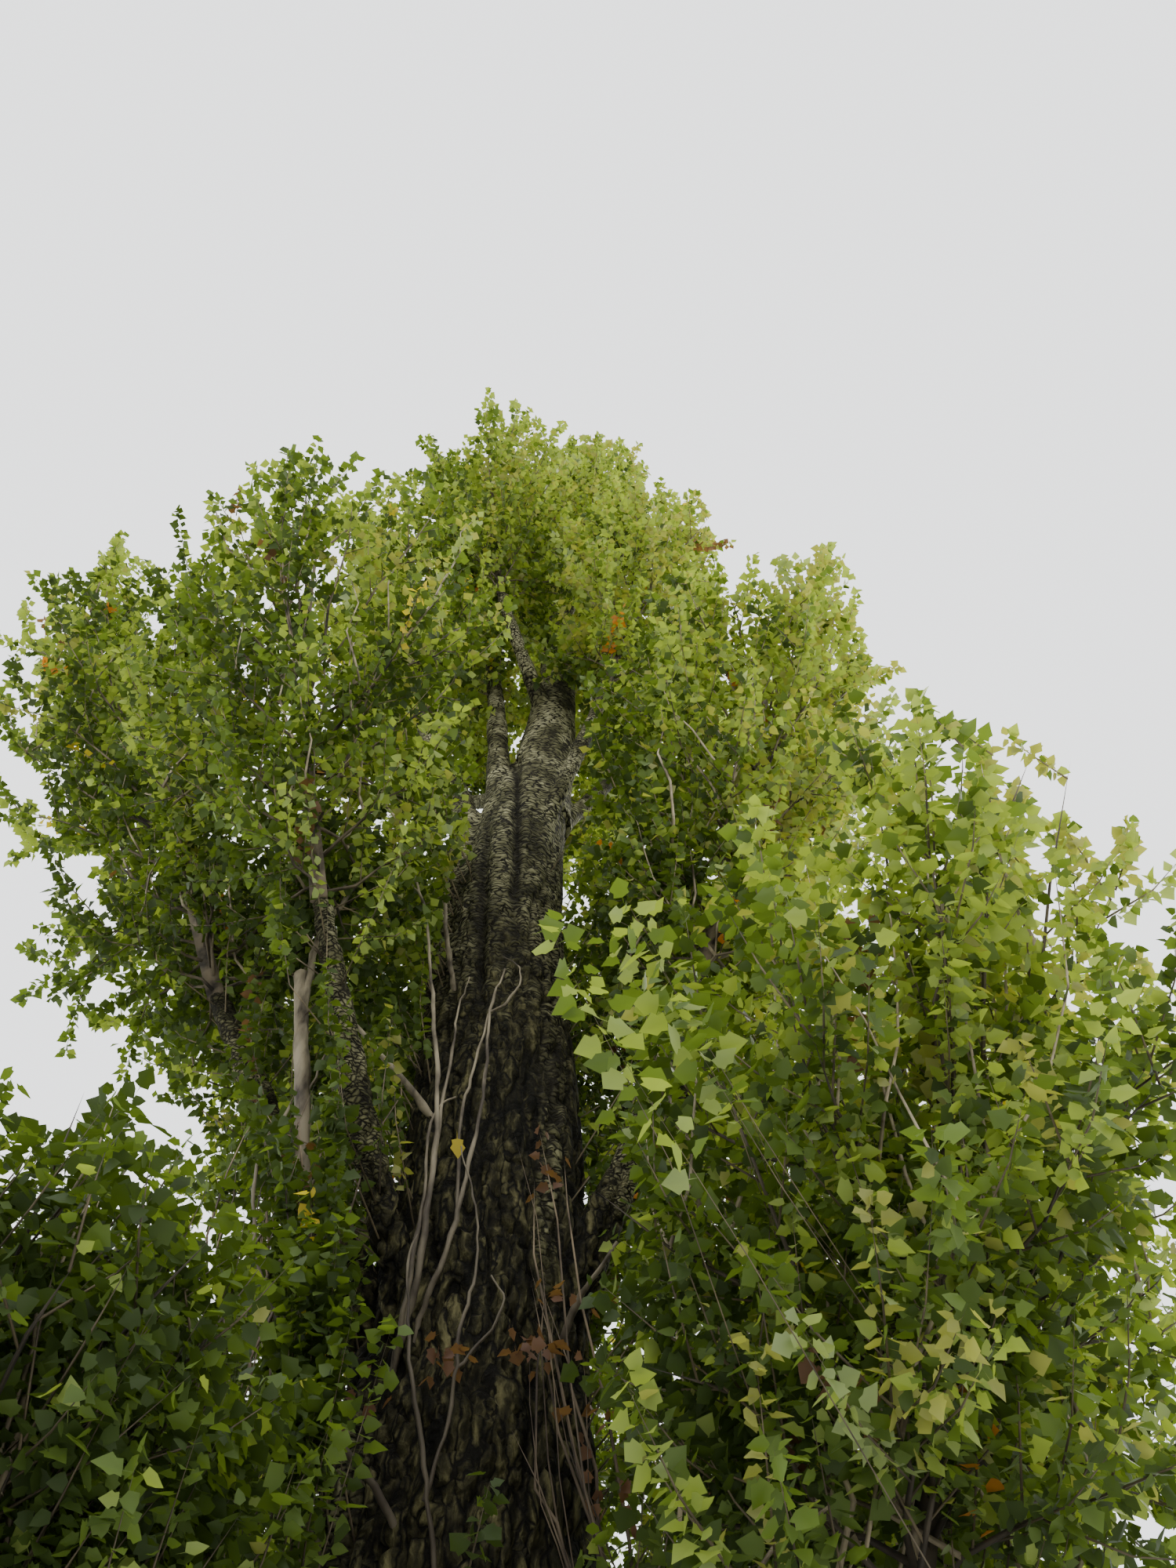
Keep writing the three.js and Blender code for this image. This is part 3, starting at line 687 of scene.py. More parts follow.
# Painted shade: below the first height the light streaks fade to 0.15 of their share, darkening the wood
# towards the ground.
level = add_node(streaked, "SeparateXYZ", {"Vector": place}).outputs["Z"]
lit = add_node(streaked, "MapRange", {
    "Value": level, "From Min": given["Painted Shade Below"], "From Max": given["Painted Shade Ends Above"], "To Min": 0.15})
both = add_node(streaked, "Math", {0: share.outputs["Result"], 1: lit.outputs["Result"]},
                operation="MULTIPLY")
wire(streaked, streaked.nodes.new("NodeGroupOutput"), {
    "Color": blended(streaked, both.outputs["Value"], given["Dark"], given["Light"]), "Height": streaks})


def streaked_material(name, dark, light, scale, length, roughness, bump_height, heights):
    """Wood or bark in streaks of two shades, darkened by painted shade below the first height and at full
    lightness above the second.
    """
    material, tree, shader = new_material(name)
    grain = add_node(tree, "Group", {
        "Dark": (*dark, 1.0), "Light": (*light, 1.0), "Scale": scale, "Length": length,
        "Painted Shade Below": heights[0], "Painted Shade Ends Above": heights[1]}, node_tree=streaked)
    bump = add_node(tree, "Bump", {
        "Strength": 0.6, "Distance": bump_height, "Height": grain.outputs["Height"]})
    wire(tree, shader, {
        "Base Color": grain.outputs["Color"], "Roughness": roughness, "Normal": bump.outputs["Normal"]})
    return material


# Painted shade darkens the dry wood below 4.2 m; it is at full lightness above 6.4 m.
dry_wood = streaked_material(
    "dry_wood", (0.034, 0.024, 0.013), (0.290, 0.246, 0.160), 13.0, 0.3, 0.75, 0.004, (4.2, 6.4))
dead_wood.data.materials.clear()
dead_wood.data.materials.append(dry_wood)
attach(dead_wood, "root")

# Stems and twigs of the plumes
# Each plume's stem grows on from its bough and gives off twigs in a spiral, steeper towards the
# head, as on all upright poplars. Every second twig soon turns upright, the others sag under their leaves.
TWIGS_PER_PLUME = 84
FULLER_PLUMES = {
    "low_1": 1.50, "low_2": 1.25, "low_7": 1.15,
    "mid_1": 1.52, "mid_2": 1.20, "mid_5": 1.30, "mid_6": 1.85,
}
GROWTH_SEED = 4711
SHARE_STEPS = 12
SPACE_SHARE = 0.03
SPACE_KEPT = 0.045
TWIG_GIRTH = (0.013, 0.004)
TWIG_WOBBLE = 0.018
BARE_RIGHT = 0.48
BARE_LEFT = -0.42
BARE_SLANT = 0.23
BARE_TOP = 11.8

shares = [k / SHARE_STEPS for k in range(SHARE_STEPS + 1)]
share_points = np.array([[plume_point(plume, t) for t in shares] for plume in plumes])
share_widths = np.array([[plume_width(plume, t) for t in shares] for plume in plumes])
rng = np.random.default_rng(GROWTH_SEED)
UP = np.array([0.0, 0.0, 1.0])
room = SPACE_SHARE * (np.array(built_high) - np.array(built_low)) - SPACE_KEPT
edge_low, edge_high = np.array(built_low) - room, np.array(built_high) + room


def clear_of_wood(points, gap):
    """True where a point lies off the trunk and the limbs, and not before the bare face of the trunk."""
    x, y, z = points.T
    reach = np.linalg.norm(points[:, None, :] - limb_cloud[None], axis=2) - limb_girth[None]
    off_axis = np.hypot(x - along(TRUNK_X, z), y)
    off_trunk = (off_axis > along(TRUNK_R, z) + gap + 0.08) | (z > FORK_Z + 0.3)
    bare = (y < 0) & (x > BARE_LEFT - BARE_SLANT * y) & (x < BARE_RIGHT) & (z < BARE_TOP)
    return (reach.min(axis=1) > gap) & off_trunk & ~bare


def in_own_space(points, own, reach, give):
    """True where a point lies in plume number own and clear of the wood."""
    gaps = np.linalg.norm(points[:, None, None, :] - share_points[None], axis=3)
    part = (gaps / share_widths[None]).min(axis=2)
    mine = part[np.arange(len(points)), own]
    part[np.arange(len(points)), own] = 9.0
    within = ((points > edge_low) & (points < edge_high)).all(axis=1)
    return within & (mine < reach) & (part.min(axis=1) > mine - give) & clear_of_wood(points, 0.05)


def unit(rows):
    return rows / np.linalg.norm(rows, axis=-1, keepdims=True)


def thin_tubes(paths, radii):
    """Three-sided stalks along paths [n, steps, 3] that close to a point at their last step."""
    n, steps, _ = paths.shape
    flow = unit(np.gradient(paths, axis=1))
    side = unit(np.cross(flow, np.array([0.31, 0.95, 0.02])))
    lift = np.cross(flow, side)
    rings = []
    for k in range(3):
        a = 0.4 + k * 2 * math.pi / 3
        rings.append(paths + (side * math.cos(a) + lift * math.sin(a)) * radii[..., None])
    rings = np.stack(rings, axis=2)[:, :-1].reshape(n, -1, 3)
    verts = np.concatenate([rings, paths[:, -1:]], axis=1)
    faces = [(2, 1, 0)]
    for step in range(steps - 2):
        for k in range(3):
            a, b = step * 3 + k, step * 3 + (k + 1) % 3
            faces += [(a, b, b + 3), (a, b + 3, a + 3)]
    last = (steps - 2) * 3
    faces += [(last + k, last + (k + 1) % 3, last + 3) for k in range(3)]
    index = np.array(faces)[None] + (np.arange(n) * verts.shape[1])[:, None, None]
    return verts.reshape(-1, 3), index.reshape(-1, 3)


def mesh_piece(name, verts, faces, material, slot_name):
    """One joined piece from arrays, riding on the tree."""
    data = bpy.data.meshes.new(name)
    data.vertices.add(len(verts))
    data.vertices.foreach_set("co", np.asarray(verts, dtype=np.float32).ravel())
    data.loops.add(len(faces) * 3)
    data.loops.foreach_set("vertex_index", np.asarray(faces, dtype=np.int32).ravel())
    data.polygons.add(len(faces))
    data.polygons.foreach_set("loop_start", np.arange(0, len(faces) * 3, 3, dtype=np.int32))
    data.update(calc_edges=True)
    data.validate()
    data.materials.append(material)
    piece = bpy.data.objects.new(name, data)
    bpy.context.collection.objects.link(piece)
    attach(piece, "root")
    return piece


twig_paths, twig_owner = [], []
stem_paths, stem_radii = [], []
for number, plume in enumerate(plumes):
    roll = dice(plume["seed"])
    next(roll)
    ts = np.linspace(0.0, 0.97, 20)
    stem_paths.append([plume_point(plume, t) for t in ts])
    stem_radii.append(mix(plume["tier"]["tip_radius"] * 0.98, 0.008, ts / 0.97))
    twig_count = round(TWIGS_PER_PLUME * FULLER_PLUMES.get(plume["label"], 1.0))
    for k in range(twig_count):
        t = mix(0.0, 0.93, (k + 0.5) / twig_count)
        bearing = plume["degrees"] + SPIRAL_STEP * k + 50 * (next(roll) - 0.5)
        tilt = math.radians(mix(66, 34, t) + 12 * (next(roll) - 0.5))
        least = 0.60 + 0.30 * (twig_count / TWIGS_PER_PLUME - 1.0)
        reach = plume_width(plume, t) * mix(least, 1.03, next(roll)) * (0.78 if t < 0.10 else 1.0)
        direction = polar(math.sin(tilt), bearing, math.cos(tilt))
        root = plume_point(plume, t)
        length = reach / math.sin(tilt)
        lift = (mix(0.55, 0.15, t) if k % 2 else mix(-0.36, 0.10, min(t * 1.8, 1.0))) * length
        twig_paths.append([root + direction * length * s + Vector((0.0, 0.0, lift * s * s))
                           for s in (0.0, 0.25, 0.5, 0.75, 1.0)])
        twig_owner.append(number)
twig_paths = np.array(twig_paths)
twig_owner = np.array(twig_owner)
twig_paths[:, 1:] += rng.normal(0.0, TWIG_WOBBLE, twig_paths[:, 1:].shape)
keep = in_own_space(twig_paths[:, 2], twig_owner, 1.08, 0.15)
keep &= in_own_space(twig_paths[:, 4], twig_owner, 1.08, 0.15)
twig_paths, twig_owner = twig_paths[keep], twig_owner[keep]

# Painted shade darkens the twig bark below 3.5 m; it is at full lightness above 8.5 m.
twig_bark = streaked_material(
    "twig_bark", (0.022, 0.016, 0.010), (0.240, 0.190, 0.120), 9.0, 1.0, 0.8, 0.002, (3.5, 8.5))
foliage_nodes = ["foliage_" + plume["label"] for plume in plumes]
stem_verts, stem_faces = thin_tubes(np.array(stem_paths), np.array(stem_radii))
twig_radii = np.linspace(*TWIG_GIRTH, 5)[None].repeat(len(twig_paths), axis=0)
twig_verts, twig_faces = thin_tubes(twig_paths, twig_radii)
twig_piece = mesh_piece(
    "stems_and_twigs", np.concatenate([stem_verts, twig_verts]),
    np.concatenate([stem_faces, twig_faces + len(stem_verts)]), twig_bark, "limb_bark")
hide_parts(*foliage_nodes)

# Leafy shoots
# The year's shoots, each a bow [start, pull, end] that turns up to the light. Most leave the twigs of
# the plumes, long upright ones stand low in the crown, and others sprout from the trunk and its boughs.
SHOOTS_PER_TWIG = 9
LONG_SHOOTS = 54
TRUNK_SHOOTS = 230
BOUGH_SHOOTS = 30
LEADER_SHOOTS = 90
COVER_SHOOTS = 34
SHOOT_GIRTHS = (0.0046, 0.0034, 0.0)
RISER_STEPS = 6
RISER_GIRTH = (0.0100, 0.0025)
RISER_WOBBLE = 0.017
FRONT_SHOOTS = [
    [(1.30, -1.25, 3.30), (0.84, -2.15, 3.40), (0.47, -2.32, 4.12)],
    [(1.02, -1.15, 3.45), (0.70, -2.25, 3.75), (0.38, -2.30, 4.46)],
    [(1.45, -1.20, 3.75), (0.86, -2.15, 3.85), (0.60, -2.26, 4.64)],
    [(1.20, -1.00, 4.00), (0.95, -1.85, 4.20), (0.66, -2.00, 5.05)],
    [(1.38, -1.40, 3.55), (0.92, -1.95, 3.90), (0.72, -2.15, 4.30)],
    [(1.08, -0.95, 4.20), (0.90, -1.75, 4.60), (0.56, -1.75, 5.30)],
    [(1.52, -1.05, 3.95), (0.95, -1.70, 4.00), (0.84, -1.85, 4.75)],
]

bows, owners = [], []
flow = unit(np.diff(twig_paths, axis=1))
for order in range(SHOOTS_PER_TWIG + 1):
    last = order == SHOOTS_PER_TWIG
    share = 1.0 if last else 0.30 + 0.66 * order / (SHOOTS_PER_TWIG - 1)
    step = min(int(share * 4), 3)
    root = twig_paths[:, step] + (twig_paths[:, step + 1] - twig_paths[:, step]) * (share * 4 - step)
    ahead = flow[:, step]
    side = unit(np.cross(ahead, UP))
    over = np.cross(side, ahead)
    turn = rng.uniform(0, 1.1, len(root)) + order * 2.4
    swing = side * np.cos(turn)[:, None] + over * np.sin(turn)[:, None]
    swing *= 0.15 if last else rng.uniform(0.7, 1.25, (len(root), 1))
    aim = unit(ahead * 0.8 + swing + UP * 0.30)
    length = rng.uniform(0.34, 0.64, (len(root), 1)) * (1.1 if last else 1.0)
    bows.append(np.stack([root, root + aim * length * 0.5, root + unit(aim + UP * 0.40) * length], axis=1))
    owners.append(twig_owner)
bows = np.concatenate(bows)
owners = np.concatenate(owners)


def sideways(bearing):
    """Level direction of length one at a bearing."""
    return np.array([math.cos(bearing), math.sin(bearing), 0.0])


def on_bow(bow, s):
    """Point at share s of each bow."""
    s = np.asarray(s).reshape(-1, 1)
    return bow[:, 0] * (1 - s) ** 2 + bow[:, 1] * 2 * s * (1 - s) + bow[:, 2] * s * s


extra = np.array([FULLER_PLUMES.get(plume["label"], 1.0) - 1.0 for plume in plumes])
keep = in_own_space(on_bow(bows, 0.6), owners, 1.08 + 0.12 * extra[owners], 0.20)
keep &= in_own_space(bows[:, 2], owners, 1.14 + 0.16 * extra[owners], 0.30)
bows, owners = bows[keep], owners[keep]

# Long upright shoots rise from the twigs of the low and the middle plumes.
uprights, upright_owner = [], []
for number, plume in enumerate(plumes):
    own_twigs = twig_paths[twig_owner == number]
    if plume["tier"]["name"] not in ("low", "mid"):
        continue
    shoot_count = round(LONG_SHOOTS * FULLER_PLUMES.get(plume["label"], 1.0))
    for k in rng.integers(0, len(own_twigs), shoot_count):
        start = own_twigs[k, rng.integers(1, 5)]
        aside = np.array([*rng.normal(0, 0.12, 2), 0.0]) + np.array([start[0], start[1], 0.0]) * 0.05
        rise = rng.uniform(0.8, 1.5)
        uprights.append([start, start + aside * 1.6 + UP * rise * 0.35, start + aside * 2.0 + UP * rise])
        upright_owner.append(number)
uprights = np.array(uprights)
upright_owner = np.array(upright_owner)
keep = in_own_space(on_bow(uprights, 0.6), upright_owner, 1.06, 0.25)
keep &= in_own_space(uprights[:, 2], upright_owner, 1.10, 0.35)
uprights = uprights[keep]

# Others leave the trunk, the boughs low down and the two leaders in every direction.
sprouts = []
for k in range(TRUNK_SHOOTS):
    bearing = math.radians(rng.uniform(168, 232) if k % 3 == 0 else rng.uniform(-38, 224))
    z = rng.uniform(2.0, 8.8)
    out = sideways(bearing)
    start = np.array([along(TRUNK_X, z), 0.0, z]) + out * along(TRUNK_R, z) * 0.97
    aside = np.array([-out[1], out[0], 0.0]) * rng.uniform(-0.35, 0.35)
    pull = start + (out + aside) * rng.uniform(0.22, 0.42) + UP * rng.uniform(0.15, 0.40)
    end = pull + (out + aside) * rng.uniform(0.0, 0.22) + UP * rng.uniform(0.5, 1.1)
    sprouts.append([start, pull, end])
for limb in limbs:
    if limb["plume"]["tier"]["name"] not in ("low", "mid"):
        continue
    for t in rng.uniform(0.30, 1.0, BOUGH_SHOOTS):
        spot = limb_point(limb, t)
        out = sideways(rng.uniform(0, 2 * math.pi))
        start = np.array(spot) + out * limb_radius(limb, t) * 0.8
        pull = start + out * rng.uniform(0.25, 0.55) + UP * rng.uniform(-0.1, 0.25)
        sprouts.append([start, pull, pull + out * rng.uniform(0.05, 0.25) + UP * rng.uniform(0.3, 0.8)])
for limb in limbs:
    if limb["name"] not in LONG_LEADERS:
        continue
    for t in rng.uniform(0.25, 1.0, LEADER_SHOOTS):
        spot = np.array(limb_point(limb, t))
        out = sideways(rng.uniform(0, 2 * math.pi))
        pull = spot + out * rng.uniform(0.25, 0.55) + UP * rng.uniform(0.0, 0.25)
        if spot[2] > 12.4:
            sprouts.append([spot, pull, pull + out * rng.uniform(0.05, 0.30) + UP * rng.uniform(0.3, 0.8)])
sprouts = np.array(sprouts)
sprouts = sprouts[clear_of_wood(sprouts[:, 2], 0.03) & clear_of_wood(on_bow(sprouts, 0.6), 0.01)]

# A thicket of leafy shoots at the left front hides where the broken bough leaves the trunk.
cover = []
for k in range(COVER_SHOOTS):
    z = rng.uniform(4.1, 5.5)
    start = np.array([rng.uniform(-0.46, -0.30), rng.uniform(-0.36, -0.24), z - rng.uniform(0.7, 1.1)])
    end = np.array([-0.14 - 0.30 * (z - 3.65) + rng.normal(0, 0.10), rng.uniform(-1.05, -0.80), z])
    cover.append([start, mix(start, end, 0.5) + np.array([0.0, -0.16, -0.12]), end])
cover.append([np.array([0.14, -0.50, 3.72]), np.array([0.17, -0.68, 3.70]), np.array([0.22, -0.80, 3.88])])

plume_bows = len(bows)
bows = np.concatenate([bows, uprights, sprouts, np.array(cover), np.array(FRONT_SHOOTS)])
rank_of_bow = np.arange(len(bows))
front_bows = rank_of_bow >= len(bows) - len(FRONT_SHOOTS)
long_bows = (rank_of_bow >= plume_bows) & (rank_of_bow < plume_bows + len(uprights))
cover_bows = (rank_of_bow >= len(bows) - len(FRONT_SHOOTS) - len(cover)) & ~front_bows
trunk_bows = (rank_of_bow >= plume_bows) & ~long_bows & ~cover_bows & ~front_bows
bow_lengths = (np.linalg.norm(bows[:, 1] - bows[:, 0], axis=1)
               + np.linalg.norm(bows[:, 2] - bows[:, 1], axis=1))

shoot_paths = np.stack([bows[:, 0], on_bow(bows, 0.5), bows[:, 2]], axis=1)
shoot_girth = np.where(front_bows, 0.5, 1.0)[:, None]
shoot_radii = np.array(SHOOT_GIRTHS)[None] * shoot_girth
shoot_paths, shoot_radii = shoot_paths[~long_bows], shoot_radii[~long_bows]
# Painted shade darkens the shoot bark below 2.5 m; it is at full lightness above 7.5 m.
shoot_bark = streaked_material(
    "shoot_bark", (0.050, 0.036, 0.020), (0.310, 0.245, 0.140), 7.0, 1.0, 0.7, 0.001, (2.5, 7.5))
shoot_piece = mesh_piece("leafy_shoots", *thin_tubes(shoot_paths, shoot_radii), shoot_bark, "limb_bark")
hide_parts(*foliage_nodes)

riser_paths = np.stack([on_bow(uprights, s) for s in np.linspace(0.0, 1.0, RISER_STEPS)], axis=1)
riser_paths[:, 1:-1] += rng.normal(0.0, RISER_WOBBLE, riser_paths[:, 1:-1].shape)
riser_radii = np.linspace(*RISER_GIRTH, RISER_STEPS)[None] * rng.uniform(0.5, 1.25, (len(uprights), 1))
# Lighter than the shoot bark: painted light that makes the upright shoots look sunlit, with painted shade
# below 1.8 m fading out by 4.5 m.
riser_bark_painted_light = streaked_material(
    "riser_bark_painted_light", (0.090, 0.068, 0.042), (0.460, 0.385, 0.250), 9.0, 1.0, 0.7, 0.001, (1.8, 4.5))
mesh_piece("upright_shoots", *thin_tubes(riser_paths, riser_radii), riser_bark_painted_light, "limb_bark")

# Dry strands beside the trunk
# Thin dead shoots in a loose bundle that leans in against the right side of the trunk, with single
# ones before its left side. They stand upright, brown and dry, and taper to thin tips.
BUNDLE = [
    [(0.58, -0.30, 3.30), (0.54, -0.42, 3.86), (0.47, -0.52, 4.15),
     (0.40, -0.56, 4.43), (0.35, -0.56, 5.15), (0.25, -0.54, 5.66)],
    [(0.55, -0.30, 3.30), (0.51, -0.42, 3.86), (0.42, -0.48, 4.10),
     (0.37, -0.50, 4.28), (0.34, -0.54, 4.75), (0.35, -0.54, 5.06)],
    [(0.66, -0.24, 3.30), (0.60, -0.40, 4.00), (0.51, -0.48, 4.37),
     (0.43, -0.52, 4.77), (0.40, -0.53, 5.20), (0.38, -0.52, 5.58)],
    [(0.68, -0.24, 3.30), (0.64, -0.40, 3.95), (0.54, -0.46, 4.31),
     (0.45, -0.50, 4.65), (0.40, -0.51, 5.10), (0.34, -0.50, 5.54)],
]
BUNDLE_SHOOTS = 13
BUNDLE_SPREAD = 0.045
LEFT_SHOOTS = 26
STRAND_STEPS = 6
STRAND_GIRTH = (0.0060, 0.0022)

strands = []
for k in range(BUNDLE_SHOOTS):
    route = np.array(BUNDLE[k % len(BUNDLE)])
    route = route + rng.normal(0, BUNDLE_SPREAD, 3) * np.array([1.0, 0.6, 0.0])
    route[:, 2] = 3.1 + (route[:, 2] - 3.3) * rng.uniform(0.55, 1.1) + rng.uniform(-0.1, 0.3)
    strands.append(route + rng.normal(0, 0.018, route.shape))
for k in range(LEFT_SHOOTS):
    points = [np.array([rng.uniform(-0.98, -0.45), rng.uniform(-0.78, -0.35), rng.uniform(3.2, 4.9)])]
    for step in range(STRAND_STEPS - 1):
        rise = np.array([-0.01, -0.03, rng.uniform(0.12, 0.26)])
        points.append(points[-1] + rise + rng.normal(0, 0.035, 3))
    strands.append(np.array(points))
strands = np.array(strands)
strand_radii = np.linspace(*STRAND_GIRTH, STRAND_STEPS)[None] * rng.uniform(0.5, 1.6, (len(strands), 1))
# Painted shade darkens the strands below 3.4 m; they are at full lightness above 5.2 m.
brown_wood = streaked_material(
    "brown_wood", (0.026, 0.016, 0.009), (0.235, 0.175, 0.105), 12.0, 0.3, 0.8, 0.002, (3.4, 5.2))
mesh_piece("dry_strands", *thin_tubes(strands, strand_radii), brown_wood, "limb_bark")

# Leaves
# Thin blades on short stalks, one by one round each shoot. Low in the crown some are lobed and show
# their pale undersides, those above are broadly diamond-shaped. Some sprays have turned yellow or brown.
LEAF_SPACINGS = [(3.0, 0.0125), (6.5, 0.0131), (9.0, 0.0160), (12.0, 0.0163), (23.0, 0.0154)]
FRONT_LEAVES = 20
LEAF_SIZES = [(4.0, 0.048), (9.0, 0.065), (12.0, 0.072), (20.0, 0.078)]
DEAD_CLUSTERS = [
    (0.33, -0.62, 4.46, 22), (0.02, -0.66, 4.42, 14), (0.40, -0.58, 4.75, 8), (0.50, -0.54, 4.30, 12),
    (0.58, -0.47, 4.02, 12), (0.36, -0.58, 5.30, 6), (0.30, -0.58, 5.60, 6), (-0.66, -0.76, 5.26, 14),
    (-0.58, -0.80, 5.10, 12), (-0.30, -0.66, 4.36, 6), (-0.20, -0.64, 4.20, 6),
]
TINTS = {
    "leaf_deep": (0.045, 0.071, 0.018),
    "leaf_green": (0.100, 0.150, 0.033),
    "leaf_bright": (0.238, 0.302, 0.078),
    "leaf_olive": (0.262, 0.270, 0.090),
    "leaf_pale": (0.232, 0.288, 0.138),
    "leaf_yellow": (0.500, 0.380, 0.045),
    "leaf_orange": (0.400, 0.160, 0.025),
    "leaf_rust": (0.132, 0.070, 0.045),
}
GREEN, BRIGHT, PALE, YELLOW, ORANGE, RUST = 1, 2, 4, 5, 6, 7
GLOW_SHARE = 0.40
TURNED_SPRAYS = [(1.60, -1.28, 3.75), (1.78, -1.12, 4.90), (-1.62, -0.55, 7.90)]
TURNED_LEAF = (-0.08, -0.65, 5.50)
TURNED_SIZE = 0.085
TURNED_AIM = (0.10, 0.60, -0.80)
TURNED_EARLY = 0.020
# Chances of each tint: the low row leans to deep tints as painted shade, the last row to bright ones as
# painted sunlight on the right side.
LOW_SHARES = np.array([0.40, 0.37, 0.10, 0.045, 0.045, 0.012, 0.008, 0.028])
HIGH_SHARES = np.array([0.05, 0.25, 0.42, 0.22, 0.04, 0.018, 0.004, 0.012])
PAINTED_SUN_SHARES = np.array([0.03, 0.17, 0.47, 0.26, 0.05, 0.012, 0.005, 0.006])


def leaf_form(half, fold, stalk):
    """Folded blade of unit length, fanned from its base to the outline of each half, on a stalk or none."""
    n = len(half)
    points = [(0.0, 0.0, 0.0), (0.0, 1.0, -0.06)]
    points += [(x, y, fold * x) for x, y in half] + [(-x, y, fold * x) for x, y in half]
    faces = []
    for start, flip in ((2, False), (2 + n, True)):
        edge = [*range(start, start + n), 1]
        faces += [(0, b, a) if flip else (0, a, b) for a, b in zip(edge, edge[1:])]
    if stalk:
        first = len(points)
        points += [(0.014, 0.01, 0.0), (-0.014, 0.01, 0.0), (0.0, -stalk, 0.05)]
        faces.append((first, first + 1, first + 2))
    return np.array(points), np.array(faces)


LEAF_FORMS = {
    "tiny": leaf_form([(0.44, 0.38)], 0.24, 0.0),
    "small": leaf_form([(0.42, 0.22), (0.30, 0.60)], 0.20, 0.0),
    "broad": leaf_form([(0.44, 0.20), (0.34, 0.58)], 0.18, 0.45),
    "lobed": leaf_form([(0.36, 0.05), (0.31, 0.26), (0.46, 0.43), (0.26, 0.67)], 0.20, 0.45),
}

spacing = along(LEAF_SPACINGS, bows[:, 2, 2])
spacing[:plume_bows] *= 1.13 - 0.25 * extra[owners]
counts = np.maximum((bow_lengths / spacing).astype(int), 5)
counts[trunk_bows] = counts[trunk_bows] * np.where(bows[trunk_bows, 2, 2] < 5.6, 0.30, 0.60)
counts[long_bows] = counts[long_bows] * 0.40
counts[cover_bows] = counts[cover_bows] * 0.65
counts[front_bows] = FRONT_LEAVES
owner = np.repeat(np.arange(len(bows)), counts)
first = np.concatenate([[0], np.cumsum(counts)[:-1]])
rank = np.arange(len(owner)) - first[owner]
share = 0.06 + 0.94 * (rank + rng.uniform(0.2, 0.8, len(rank))) / counts[owner]
share = np.where(trunk_bows[owner], 0.15 + 0.85 * share, share)
share = np.where(long_bows[owner] | cover_bows[owner], 0.35 + 0.65 * share, share)
share = np.where(front_bows[owner], 0.60 + 0.40 * share, share)
leaf_roots = on_bow(bows[owner], share)
flow = unit(bows[owner, 2] - bows[owner, 0])
side = unit(np.cross(flow, np.array([0.17, 0.08, 0.98])))
over = np.cross(side, flow)
turn = np.radians(SPIRAL_STEP) * rank + rng.uniform(-0.5, 0.5, len(rank)) + owner * 1.3
swing = side * np.cos(turn)[:, None] + over * np.sin(turn)[:, None]

# Curled dead leaves caught among the dry shoots join the rest.
dead_spots = np.concatenate(
    [np.array(c[:3]) + rng.normal(0, 0.045, (c[3], 3)) for c in DEAD_CLUSTERS] + [np.array([TURNED_LEAF])])
dead_count = len(dead_spots)
leaf_roots = np.concatenate([leaf_roots, dead_spots])
swing = np.concatenate([swing, unit(rng.normal(0, 1, (dead_count, 3)))])
flow = np.concatenate([flow, np.tile(-UP, (dead_count, 1))])
dead = np.arange(len(leaf_roots)) >= len(owner)
in_front = np.concatenate([front_bows[owner], np.zeros(dead_count, dtype=bool)])

height = leaf_roots[:, 2]
dice_roll = rng.uniform(0, 1, len(height))
near = np.linalg.norm(leaf_roots - np.array(EYE), axis=1)
lobed = (dice_roll < np.clip((5.4 - near) / 2.6, 0.0, 0.60)) | in_front | dead
broad = ~lobed & (near < 4.4) & (dice_roll < 0.85)
tiny = ~lobed & ~broad & ((near > 6.6) | ((near > 5.0) & (dice_roll > 0.50)))
size = along(LEAF_SIZES, height)
size *= rng.uniform(0.68, 1.25, len(height))
size[lobed] *= 1.22
size[in_front] *= 1.15
size[dead] = rng.uniform(0.036, 0.060, dead_count)
size[-1] = TURNED_SIZE
stalk = unit(swing + flow * 0.5 + rng.normal(0, 0.15, swing.shape))
bases = leaf_roots + stalk * (size * np.where(lobed | broad, 0.42, 0.12))[:, None]
axis = unit(swing * 0.8 + flow * 0.20 - UP * 0.50 + rng.normal(0, 0.40, swing.shape))
axis = np.where((lobed | broad)[:, None], unit(axis + stalk * 0.6), axis)
across = unit(np.cross(axis, UP + rng.normal(0, 0.65, axis.shape)))
axis[-1], across[-1] = unit(np.array(TURNED_AIM)), np.array([1.0, 0.0, 0.0])
face = np.cross(across, axis)
across = across * rng.uniform(0.80, 1.16, (len(axis), 1))

# Tints are dealt out spray by spray in loose clumps, by height and by side, as painted light and shade:
# deeper tints low in the crown, on the left, on low trunk sprays and in the left front thicket are painted
# shade, brighter ones on the right side are painted sunlight.
spot = bows[:, 2]
high = np.clip((spot[:, 2] - 5.5) / 7.0, 0.0, 1.0)[:, None]
painted_sun = np.clip((spot[:, 0] - 0.7) / 1.1, 0.0, 0.90) * np.clip((spot[:, 2] - 3.6) / 2.6, 0.15, 1.0)
painted_sun = painted_sun[:, None]
painted_shade = (0.14 * np.clip((0.3 - spot[:, 0]) / 1.6, 0.0, 1.0)
         + np.where(trunk_bows & (spot[:, 2] < 6.5), 0.16, 0.0))
